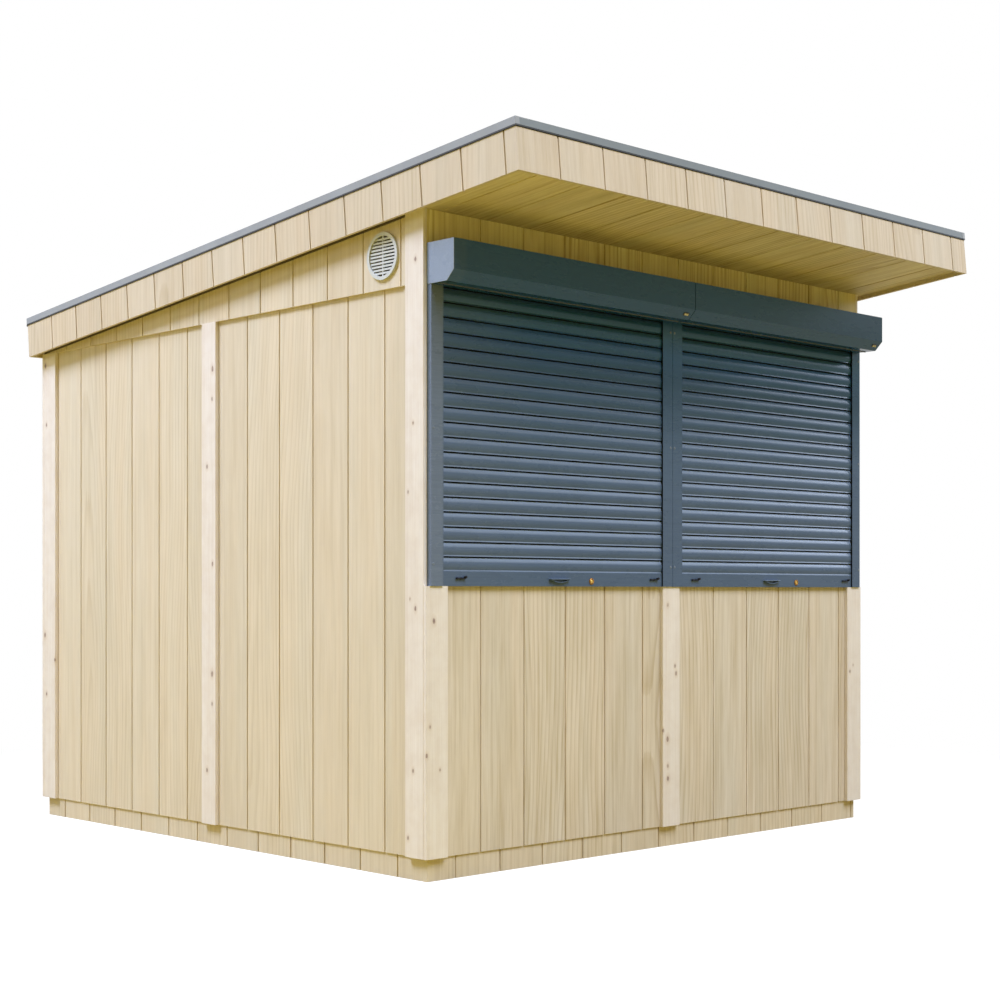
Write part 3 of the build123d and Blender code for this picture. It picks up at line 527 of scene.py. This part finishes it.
# Edge felt and corner laps. The felt is turned down over the fascias and shows as a dark line
# under the metal, put there partly as painted shade for the shadow under the metal's edge. The side
# metal is folded round the front corners over the front metal.
FELT_SHOWS, FELT_SUNK, FELT_PROUD, FELT_START, FELT_EASE = 0.0012, 0.002, 0.0016, 0.003, 0.0005
FRONT_FELT_NEAR, FRONT_FELT_FAR, FRONT_FELT_RISE = 0.0012, 0.005, 0.0004
EDGE_HEIGHT, FOLD_RETURN, FOLD_RISE = 0.0299, 0.017, 0.0005
FOLD_PROUD, FOLD_SUNK, FOLD_EASE = 0.0008, 0.0004, 0.0003
front_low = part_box("front_edge_metal")[0]
leaning = Matrix(((1, 0, 0, 0), (0, 1, ROOF_FALL, -ROOF_FALL * front_low.z), (0, 0, 1, 0), (0, 0, 0, 1)))
turned_down = bmesh.new()
lower_edge = edge_low.z + ROOF_FALL * (edge_high.y - front_low.y)
for side in (-1, 1):
    faces = sorted((side * (run_high.x - FELT_SUNK), side * (run_high.x + FELT_PROUD)))
    block(turned_down, (faces[0], front_low.y + FELT_START, lower_edge - FELT_SHOWS),
          (faces[1], run_high.y, lower_edge), FELT_EASE, falling(front_low.y))
block(turned_down, (run_low.x, front_low.y + FRONT_FELT_NEAR, front_low.z - FELT_SHOWS),
      (run_high.x, front_low.y + FRONT_FELT_FAR, front_low.z + FRONT_FELT_RISE), FELT_EASE, leaning)
piece("edge_felt", turned_down, "bitumen_felt", "roof_felt")
folds = bmesh.new()
for side in (-1, 1):
    ends = sorted((side * edge_high.x, side * (edge_high.x - FOLD_RETURN)))
    block(folds, (ends[0], front_low.y - FOLD_PROUD, front_low.z + FOLD_RISE),
          (ends[1], front_low.y + FOLD_SUNK, front_low.z + EDGE_HEIGHT), FOLD_EASE, leaning)
piece("corner_laps", folds, "side_metal_lit", "edge_metal")

# Roller shutters. Curtains of roll-formed aluminium slats run in extruded guides, screwed to
# the stiles below folded boxes, all powder coated slate blue and satin.
# The coat is painted darker and greener higher up, for the shade under the canopy; lighter on faces that
# look up, for the highlight where light reaches them below the canopy's shade; and lighter at the left
# end, for the light that comes in there from the left.
COAT_LOW, COAT_HIGH, END_LIGHT_REACH = 1.0, 2.05, 0.5
CANOPY_SHADE_LOW, CANOPY_SHADE_HIGH = 1.25, 1.88
COAT_AND_SHADE_BY_HEIGHT = [
    (0.24, (0.074, 0.111, 0.167)), (0.45, (0.070, 0.113, 0.175)), (0.72, (0.022, 0.064, 0.113)),
    (0.885, (0.024, 0.097, 0.225)), (0.935, (0.0155, 0.070, 0.176))]
COAT_PAINTED_HIGHLIGHT, COAT_PAINTED_END_LIGHT = (0.240, 0.300, 0.380), (0.150, 0.185, 0.240)
guide_low, guide_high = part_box("left_shutter_guides")


def rising(tree, value, low, high):
    """A smooth rise from 0 to 1, as a value goes from low to high."""
    node = tree.nodes.new("ShaderNodeMapRange")
    node.interpolation_type = "SMOOTHSTEP"
    node.inputs[1].default_value = low
    node.inputs[2].default_value = high
    link(tree, *value, node, 0)
    return node, 0


def coated_metal(name, by_height, painted_highlight, painted_end_light):
    """Satin powder coat, painted darker under the canopy for its shade, with a painted highlight where it
    looks up and painted light at one end.
    """
    tree, shader, axes, place = finish(name)
    peel = noise(tree, place, scale=750.0, detail=2.0, roughness=0.6)
    smear_place = vector(tree, sums(tree, "MULTIPLY", axes["X"], 0.35), axes["Y"], axes["Z"])
    smear = noise(tree, smear_place, scale=16.0, detail=5.0, roughness=0.62)
    drawn_place = vector(tree, sums(tree, "MULTIPLY", axes["X"], 0.02), axes["Y"], axes["Z"])
    drawn = noise(tree, drawn_place, scale=240.0, detail=2.0)
    canopy_shade = rising(tree, axes["Z"], CANOPY_SHADE_LOW, CANOPY_SHADE_HIGH)
    # The coat darkens and turns greener with height: painted shade under the canopy.
    from_foot = sums(tree, "SUBTRACT", axes["Z"], COAT_LOW)
    coat = stops(tree, sums(tree, "DIVIDE", from_foot, COAT_HIGH - COAT_LOW), by_height)
    # Painted highlight on faces that look up, weaker in the canopy's shade.
    looks_up = stops(tree, looking_up(tree), [
        (0.20, (0, 0, 0)), (0.32, (0.5, 0.5, 0.5)), (0.58, (1, 1, 1))])
    out_of_canopy_shade = sums(tree, "MULTIPLY_ADD", canopy_shade, -0.9, 1.0)
    coat = tinted(tree, sums(tree, "MULTIPLY", looks_up, out_of_canopy_shade), coat, painted_highlight, "MIX")
    # Painted light along the left end, mostly below the box's top.
    from_end = sums(tree, "DIVIDE", sums(tree, "SUBTRACT", axes["X"], guide_low.x), END_LIGHT_REACH)
    end_light = stops(tree, from_end, [
        (0.09, (0.85, 0.85, 0.85)), (0.125, (0.2, 0.2, 0.2)), (1.0, (0, 0, 0))])
    under_box = sums(tree, "LESS_THAN", axes["Z"], guide_high.z)
    below_box = sums(tree, "MULTIPLY_ADD", under_box, 0.85, 0.15)
    coat = tinted(tree, sums(tree, "MULTIPLY", end_light, below_box), coat, painted_end_light, "MIX")
    for pattern, dark_to in ((smear, 0.32), (drawn, 0.3)):
        uneven = [(dark_to, (0.95, 0.95, 0.95)), (0.7, (1.05, 1.05, 1.05))]
        coat = tinted(tree, 1.0, coat, stops(tree, pattern, uneven))
    link(tree, *coat, shader, "Base Color")
    link(tree, *sums(tree, "MULTIPLY_ADD", smear, 0.16, 0.20), shader, "Roughness")
    shader.inputs["Specular IOR Level"].default_value = 0.2
    bump(tree, shader, peel, strength=0.06, distance=0.0003)


coated_metal("shutter_coat", COAT_AND_SHADE_BY_HEIGHT, COAT_PAINTED_HIGHLIGHT, COAT_PAINTED_END_LIGHT)
wear("shutter_coat", "left_shutter_box", "right_shutter_box", "left_shutter_guides",
     "right_shutter_guides", "left_shutter_curtain", "right_shutter_curtain", "shutter_bottom_bars")

# Joint shadows and guide brushes. A near-black strip lies in the hooked joint between one slat and
# the next: painted shade in the joint. A brush lines each guide's mouth, made near-black as painted
# shade in the mouth. A bead of sealant, in the shutters' colour, fills the gap between the two middle
# guides.
SHUTTER_MIDDLE, OPENING_HALF = 0.59825, 0.54375
SLAT_PITCH, SLAT_JOINTS, JOINT_HEIGHT = 0.050, range(1, 20), 0.0045
JOINT_SHADOW_NEAR, JOINT_SHADOW_FAR, SHADOW_STRIP_EASE = -1.2757, -1.2748, 0.0002
BRUSH_THICK, BRUSH_NEAR, BRUSH_FAR = 0.0007, 0.0004, 0.0054
BEAD_HALF, BEAD_NEAR, BEAD_FAR, BEAD_EASE = 0.0016, 0.0010, 0.006, 0.0003
curtain_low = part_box("left_shutter_curtain")[0]
# Near-black painted shade for the slat joints and the guides' mouths.
speckled("near_black_painted_shade", scale=800.0, dark=(0.004, 0.005, 0.008), bright=(0.008, 0.009, 0.014),
         roughness=0.8, specular=0.05)
shadow_strips = bmesh.new()
for side in (-1, 1):
    ends = (side * SHUTTER_MIDDLE - OPENING_HALF, side * SHUTTER_MIDDLE + OPENING_HALF)
    for joint in SLAT_JOINTS:
        level = curtain_low.z - JOINT_HEIGHT + SLAT_PITCH * joint
        block(shadow_strips, (ends[0], JOINT_SHADOW_NEAR, level), (ends[1], JOINT_SHADOW_FAR, level + JOINT_HEIGHT),
              SHADOW_STRIP_EASE)
    for end, inward in zip(ends, (1, -1)):
        faces = sorted((end, end + inward * BRUSH_THICK))
        block(shadow_strips, (faces[0], guide_low.y + BRUSH_NEAR, guide_low.z),
              (faces[1], guide_low.y + BRUSH_FAR, guide_high.z), SHADOW_STRIP_EASE)
piece("slat_joint_shadows", shadow_strips, "near_black_painted_shade", "black_plastic")
bead = bmesh.new()
block(bead, (-BEAD_HALF, guide_low.y + BEAD_NEAR, guide_low.z),
      (BEAD_HALF, guide_low.y + BEAD_FAR, guide_high.z), BEAD_EASE)
piece("guide_sealant", bead, "shutter_coat", "shutter_metal")

# Box ends and lips. Cast end plates close the boxes at the corners of the hut; their coat is the shutters'
# coat painted paler, for the light that falls on the box ends.
# A brush seal on a folded lip lies under each box where the curtain comes out.
BOX_CHAMFER, END_PLATE, PLATE_EASE = 0.035, 0.0016, 0.0007
SEAL_INNER, SEAL_OUTER, SEAL_NEAR, SEAL_FAR = 0.0065, 0.004, 0.080, 0.083
SEAL_HANGS, SEAL_SUNK, SEAL_EASE = 0.0026, 0.0008, 0.0005
END_PAINTED_LIGHT_GREY, END_PAINTED_HIGHLIGHT = (0.235, 0.285, 0.370), (0.30, 0.34, 0.40)
box_low, box_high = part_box("left_shutter_box")
# The end plates' paler grey and its paler upward faces are painted light.
coated_metal("end_plate_painted_light_coat", [(0.0, END_PAINTED_LIGHT_GREY), (1.0, END_PAINTED_LIGHT_GREY)], END_PAINTED_HIGHLIGHT, END_PAINTED_LIGHT_GREY)
end_plates = bmesh.new()
corners = ((box_high.y, box_low.z), (box_low.y + BOX_CHAMFER, box_low.z),
           (box_low.y, box_low.z + BOX_CHAMFER), (box_low.y, box_high.z), (box_high.y, box_high.z))
for side in (-1, 1):
    plate = end_plates.faces.new(
        [end_plates.verts.new((-side * box_low.x, *corner)) for corner in corners])
    raised = bmesh.ops.extrude_face_region(end_plates, geom=[plate])["geom"]
    outer = [part for part in raised if isinstance(part, bmesh.types.BMVert)]
    bmesh.ops.translate(end_plates, verts=outer, vec=(side * END_PLATE, 0, 0))
    rim = [edge for edge in end_plates.edges if edge.verts[0] in outer and edge.verts[1] in outer]
    bmesh.ops.bevel(end_plates, geom=rim, offset=PLATE_EASE, offset_type="OFFSET", segments=2,
                    profile=0.5, affect="EDGES", material=-1)
piece("box_end_plates", end_plates, "end_plate_painted_light_coat", "shutter_metal")

tree, shader, axes, _ = finish("brush_seal")
hairs = upright_lines(tree, axes)
hair_shades = stops(tree, hairs, [(0.3, (0.090, 0.090, 0.088)), (0.7, (0.150, 0.150, 0.146))])
link(tree, *hair_shades, shader, "Base Color")
shader.inputs["Roughness"].default_value = 0.8
bump(tree, shader, hairs, strength=0.3, distance=0.0005)
seals = bmesh.new()
for side in (-1, 1):
    ends = sorted((side * SEAL_INNER, side * (box_high.x - box_low.x - SEAL_OUTER)))
    block(seals, (ends[0], box_low.y + SEAL_NEAR, box_low.z - SEAL_HANGS),
          (ends[1], box_low.y + SEAL_FAR, box_low.z + SEAL_SUNK), SEAL_EASE)
piece("box_brush_seals", seals, "brush_seal", "black_plastic")

# Guide screws. Pan-head screws of plated steel hold each guide to the stile behind it,
# three to a guide, in a row near its outer edge.
SCREW_INSET, SCREW_RISES = 0.0095, (1.944, 1.508, 1.057)
speckled("plated_steel", scale=300.0, dark=(0.12, 0.15, 0.18), bright=(0.16, 0.19, 0.22), roughness=0.38)
screws = bmesh.new()
for edge in (guide_low.x + SCREW_INSET, guide_high.x - SCREW_INSET):
    for side in (-1, 1):
        for height in SCREW_RISES:
            turned(screws, SCREW_HEAD, (-side * edge, guide_low.y, height), (0, -1, 0))
piece("guide_screws", screws, "plated_steel", "steel_fitting")

# Override eyes. A crank or key frees each motor through a pale two-lobed eye on a dark plate,
# riveted to the sloping face of the box near its right end.
EYE_PLACES, LOBE_REACH = (-0.034, 1.161), 0.0055
EYE_PLATE = (-0.0135, -0.0065, -0.001), (0.0135, 0.0065, 0.0022)
EYE_PLATE_EASE = 0.0009
LOBE = ((0, 0.0030), (0.0012, 0.0032), (0.0020, 0.0050), (0.0034, 0.0050), (0.0046, 0.0038),
        (0.0050, 0.0020), (0.0050, 0.0005), (0, 0.0005))
speckled("eye_plate", scale=500.0, dark=(0.045, 0.034, 0.020), bright=(0.075, 0.058, 0.036), roughness=0.5)
speckled("eye_cream", scale=500.0, dark=(0.62, 0.55, 0.38), bright=(0.72, 0.65, 0.48), roughness=0.45)
plates = bmesh.new()
lobes = bmesh.new()
slope_out = Vector((0, -1, -1)).normalized()
for middle in EYE_PLACES:
    centre = Vector((middle, box_low.y + BOX_CHAMFER / 2, box_low.z + BOX_CHAMFER / 2))
    seat = Matrix.Translation(centre) @ slope_out.to_track_quat("Z", "Y").to_matrix().to_4x4()
    block(plates, *EYE_PLATE, EYE_PLATE_EASE, seat)
    for over in (-LOBE_REACH, LOBE_REACH):
        turned(lobes, LOBE, centre + Vector((over, 0, 0)), slope_out)
piece("override_eye_plates", plates, "eye_plate", "black_plastic")
piece("override_eyes", lobes, "eye_cream", "lock_brass")

# Bolts. A slim rod of black moulded plastic slides in two keeps on the bottom bar, near each end
# of it, and is moved by a mushroom knob on a short foot.
BOLT_RISE, BOLT_PLACES, BOLT_OUT = 1.009, (-0.46775, 0.4935), 0.0040
ROD_RADIUS, ROD_LENGTH, ROD_TIP, ROD_EASE, ROD_START = 0.0027, 0.042, 0.0021, 0.0007, 0.018
KEEP_PLACES, KEEP_HALF, KEEP_TALL, KEEP_OUT = (-0.014, 0.004), 0.002, 0.0036, 0.0075
KEEP_SUNK, KEEP_EASE = 0.0002, 0.0008
KNOB_PLACE, KNOB_RISE = 0.021, 0.0045
FOOT_LOW, FOOT_HIGH, FOOT_EASE = (0.0186, -0.0058), (0.0234, -0.0022, 0.007), 0.0006
ROD = ((0, 0), (ROD_TIP, 0), (ROD_RADIUS, ROD_EASE), (ROD_RADIUS, ROD_LENGTH - ROD_EASE),
       (ROD_TIP, ROD_LENGTH), (0, ROD_LENGTH))
KNOB = ((0, 0.0138), (0.0026, 0.0136), (0.0044, 0.0124), (0.0049, 0.0106), (0.0042, 0.0090),
        (0.0024, 0.0080), (0.0022, 0.0005), (0, 0.0005))
speckled("moulded_black", scale=600.0, dark=(0.012, 0.012, 0.014), bright=(0.022, 0.022, 0.025),
         roughness=0.5, specular=0.12, raised=(0.08, 0.0003))
bar_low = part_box("shutter_bottom_bars")[0]
bolts = bmesh.new()
for shutter in (-SHUTTER_MIDDLE, SHUTTER_MIDDLE):
    for along in BOLT_PLACES:
        middle = shutter + along
        turned(bolts, ROD, (middle - ROD_START, bar_low.y - BOLT_OUT, BOLT_RISE), (1, 0, 0), steps=16)
        for keep in KEEP_PLACES:
            block(bolts, (middle + keep - KEEP_HALF, bar_low.y - KEEP_OUT, BOLT_RISE - KEEP_TALL),
                  (middle + keep + KEEP_HALF, bar_low.y + KEEP_SUNK, BOLT_RISE + KEEP_TALL), KEEP_EASE)
        turned(bolts, KNOB, (middle + KNOB_PLACE, bar_low.y, BOLT_RISE + KNOB_RISE), (0, -1, 0))
        block(bolts, (middle + FOOT_LOW[0], bar_low.y + FOOT_LOW[1], BOLT_RISE),
              (middle + FOOT_HIGH[0], bar_low.y + FOOT_HIGH[1], BOLT_RISE + FOOT_HIGH[2]), FOOT_EASE)
piece("shutter_bolt_rods", bolts, "moulded_black", "black_plastic", "shutter_bolts")

# Handles. A folded metal grip stands out from the middle of each bottom bar, over a curved rim.
# Both are riveted to the bar and have its coat.
GRIP_HALF, GRIP_THICK, GRIP_SUNK, GRIP_EASE = 0.049, 0.0032, 0.0003, 0.0009
RIM_DROP, RIM_THICK, RIM_LOWER, RIM_OUT, RIM_SHARE = 0.0125, 0.0030, 0.0016, 0.0105, 0.96
handle_low, handle_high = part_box("shutter_handles")
grips = bmesh.new()
radius = (GRIP_HALF ** 2 + RIM_DROP ** 2) / (2 * RIM_DROP)
turn = math.asin(GRIP_HALF / radius) * RIM_SHARE
for middle in (-SHUTTER_MIDDLE, SHUTTER_MIDDLE):
    block(grips, (middle - GRIP_HALF, handle_low.y, handle_high.z - GRIP_THICK),
          (middle + GRIP_HALF, handle_high.y + GRIP_SUNK, handle_high.z), GRIP_EASE)
    centre = Vector((middle, handle_high.y, handle_high.z - RIM_DROP + radius - RIM_LOWER))
    section = ((radius, GRIP_SUNK), (radius - RIM_THICK, GRIP_SUNK), (radius - RIM_THICK, -RIM_OUT),
               (radius, -RIM_OUT))
    start = [grips.verts.new(centre + Vector((-reach * math.sin(turn), depth, -reach * math.cos(turn))))
             for reach, depth in section]
    bmesh.ops.spin(grips, geom=[grips.faces.new(start)], cent=centre, axis=(0, -1, 0),
                   dvec=(0, 0, 0), angle=2 * turn, steps=18)
piece("shutter_handle_grips", grips, "shutter_coat", "shutter_metal", "shutter_handles")

# Locks. A turned brass rim is screwed into the bottom bar around each lock cylinder,
# whose brass face has a dark keyway.
LOCK_RISE, LOCK_PLACES = 1.0015, (-0.43325, 0.76325)
LOCK_RIM = ((0.0062, -0.0005), (0.0062, 0.0036), (0.0074, 0.0046), (0.0092, 0.0046),
            (0.0112, 0.0030), (0.0118, 0.0012), (0.0118, -0.0005), (0.0062, -0.0005))
LOCK_BARREL = ((0, 0.0036), (0.0048, 0.0036), (0.0058, 0.0028), (0.0060, -0.0005), (0, -0.0005))
KEYWAY_HALF, KEYWAY_TALL, KEYWAY_OUT, KEYWAY_IN, KEYWAY_EASE = 0.0009, 0.0036, 0.0039, 0.0020, 0.0003


def brass(name, dark, bright):
    """Turned brass, tarnished in the grain."""
    tree, shader, _, place = finish(name)
    grain = noise(tree, place, scale=420.0, detail=2.0)
    link(tree, *stops(tree, grain, [(0.3, dark), (0.7, bright)]), shader, "Base Color")
    shader.inputs["Metallic"].default_value = 0.6
    link(tree, *sums(tree, "MULTIPLY_ADD", grain, 0.2, 0.24), shader, "Roughness")


brass("rim_brass", (0.22, 0.085, 0.006), (0.33, 0.15, 0.014))
brass("barrel_brass", (0.72, 0.47, 0.08), (0.86, 0.60, 0.15))
rims, barrels, keyways = bmesh.new(), bmesh.new(), bmesh.new()
for middle in LOCK_PLACES:
    centre = Vector((middle, bar_low.y, LOCK_RISE))
    turned(rims, LOCK_RIM, centre, (0, -1, 0), steps=32)
    turned(barrels, LOCK_BARREL, centre, (0, -1, 0), steps=32)
    block(keyways, (middle - KEYWAY_HALF, bar_low.y - KEYWAY_OUT, LOCK_RISE - KEYWAY_TALL),
          (middle + KEYWAY_HALF, bar_low.y - KEYWAY_IN, LOCK_RISE + KEYWAY_TALL), KEYWAY_EASE)
piece("lock_rims", rims, "rim_brass", "lock_brass", "shutter_locks")
piece("lock_barrels", barrels, "barrel_brass", "lock_brass")
piece("lock_keyways", keyways, "moulded_black", "black_plastic")

# Vents. Round grilles with level louvres, moulded in pale plastic,
# are pressed into a hole in each gable sheet and held by their rims.
# The pale plastic is painted a darker grey, for the shade the vents stand in under the eaves.
speckled("vent_moulding_shaded", scale=300.0, dark=(0.535, 0.545, 0.515), bright=(0.595, 0.605, 0.575),
         roughness=0.45, raised=(0.04, 0.0004))
wear("vent_moulding_shaded", "vent_grilles")

# Studio floor and surround. A plain pale floor, which fades to white away from the hut,
# lies under a white surround. What they throw back on the hut is warm.
FLOOR_HALF, FLOOR_DROP = 40.0, 0.0006
FLOOR_BOUNCE, FLOOR_SEEN, FLOOR_GLOW = (0.436, 0.336, 0.056, 1), (0.42, 0.42, 0.42, 1), 0.72
FADE_NEAR, FADE_FAR = 2.2, 4.2
SKY_BOUNCE, SKY_STRENGTH = (1.0, 0.8, 0.2, 1), 0.30


def seen_rays(tree):
    """1 for the rays that show the surround itself: to the camera, in gloss and through glass."""
    rays = tree.nodes.new("ShaderNodeLightPath")
    shown = sums(tree, "MAXIMUM", (rays, "Is Glossy Ray"), (rays, "Is Transmission Ray"))
    return sums(tree, "MAXIMUM", (rays, "Is Camera Ray"), shown)


def between(tree, share, first, second):
    """A shader that goes from a first one to a second by a share."""
    mix = tree.nodes.new("ShaderNodeMixShader")
    link(tree, *share, mix, 0)
    link(tree, first, 0, mix, 1)
    link(tree, second, 0, mix, 2)
    return mix


ground = bmesh.new()
bmesh.ops.create_grid(ground, x_segments=1, y_segments=1, size=FLOOR_HALF,
                      matrix=Matrix.Translation((0, 0, -FLOOR_DROP)))
mesh = bpy.data.meshes.new("studio_floor")
ground.to_mesh(mesh)
ground.free()
floor = bpy.data.objects.new("studio_floor", mesh)
bpy.context.scene.collection.objects.link(floor)
tree, shader, _, place = finish("pale_floor")
shader.inputs["Base Color"].default_value = FLOOR_BOUNCE
shader.inputs["Roughness"].default_value = 0.9
shader.inputs["Specular IOR Level"].default_value = 0.0
pale = tree.nodes.new("ShaderNodeBsdfDiffuse")
pale.inputs["Color"].default_value = FLOOR_SEEN
glow = tree.nodes.new("ShaderNodeEmission")
glow.inputs["Strength"].default_value = FLOOR_GLOW
near = tree.nodes.new("ShaderNodeAddShader")
link(tree, pale, 0, near, 0)
link(tree, glow, 0, near, 1)
white = tree.nodes.new("ShaderNodeEmission")
away = tree.nodes.new("ShaderNodeVectorMath")
away.operation = "LENGTH"
link(tree, *place, away, 0)
shown = between(tree, rising(tree, (away, "Value"), FADE_NEAR, FADE_FAR), near, white)
link(tree, between(tree, seen_rays(tree), shader, shown), 0, tree.nodes["Material Output"], 0)
floor.data.materials.append(bpy.data.materials["pale_floor"])

world = bpy.data.worlds.new("studio_white")
bpy.context.scene.world = world
world.use_nodes = True
tree = world.node_tree
backdrop = tree.nodes["Background"]
backdrop.inputs["Color"].default_value = (1, 1, 1, 1)
backdrop.inputs["Strength"].default_value = 1.0
ambient = tree.nodes.new("ShaderNodeBackground")
ambient.inputs["Color"].default_value = SKY_BOUNCE
ambient.inputs["Strength"].default_value = SKY_STRENGTH
link(tree, between(tree, seen_rays(tree), ambient, backdrop), 0, tree.nodes["World Output"], 0)

# Studio lamps and camera. Two broad soft boxes stand high on the left and in front, and two
# small ones fill from the right and from the left at the back. The camera is level, just under
# a metre up, off the front left corner.


def soft_box(name, place, target, size, power, colour):
    """A square studio lamp that faces a target."""
    data = bpy.data.lights.new(name, "AREA")
    data.shape = "RECTANGLE"
    data.size = data.size_y = size
    data.energy = power
    data.color = colour
    lamp = bpy.data.objects.new(name, data)
    lamp.location = place
    lamp.rotation_euler = (Vector(target) - Vector(place)).to_track_quat("-Z", "Y").to_euler()
    bpy.context.scene.collection.objects.link(lamp)


soft_box("left_soft_box", place=(-7.7, 2.3, 11.4), target=(-1.2, 0, 1.1), size=4.2, power=2450.0,
         colour=(0.600, 0.692, 1.0))
soft_box("front_soft_box", place=(-0.8, -9.6, 12.2), target=(0, -1.3, 1.1), size=8.0, power=2560.0,
         colour=(0.650, 0.738, 1.0))
soft_box("right_soft_box", place=(9.0, -4.4, 5.2), target=(0.6, -1.3, 1.4), size=2.6, power=210.0,
         colour=(0.70, 0.79, 1.0))
soft_box("back_soft_box", place=(-6.8, 4.3, 3.6), target=(-1.2, -1.3, 2.0), size=3.0, power=80.0,
         colour=(0.74, 0.81, 1.0))

lens = bpy.data.cameras.new("shop_view")
lens.sensor_fit = "HORIZONTAL"
lens.sensor_width = 36.0
lens.lens = 63.378
lens.shift_x = -0.074
lens.shift_y = 0.0915
lens.clip_end = 200.0
viewer = bpy.data.objects.new("shop_view", lens)
viewer.location = (-4.9753, -5.7379, 0.965)
viewer.rotation_euler = (math.radians(90), 0, math.radians(-45))
bpy.context.scene.collection.objects.link(viewer)
bpy.context.scene.camera = viewer
bpy.context.scene.view_settings.view_transform = "Standard"
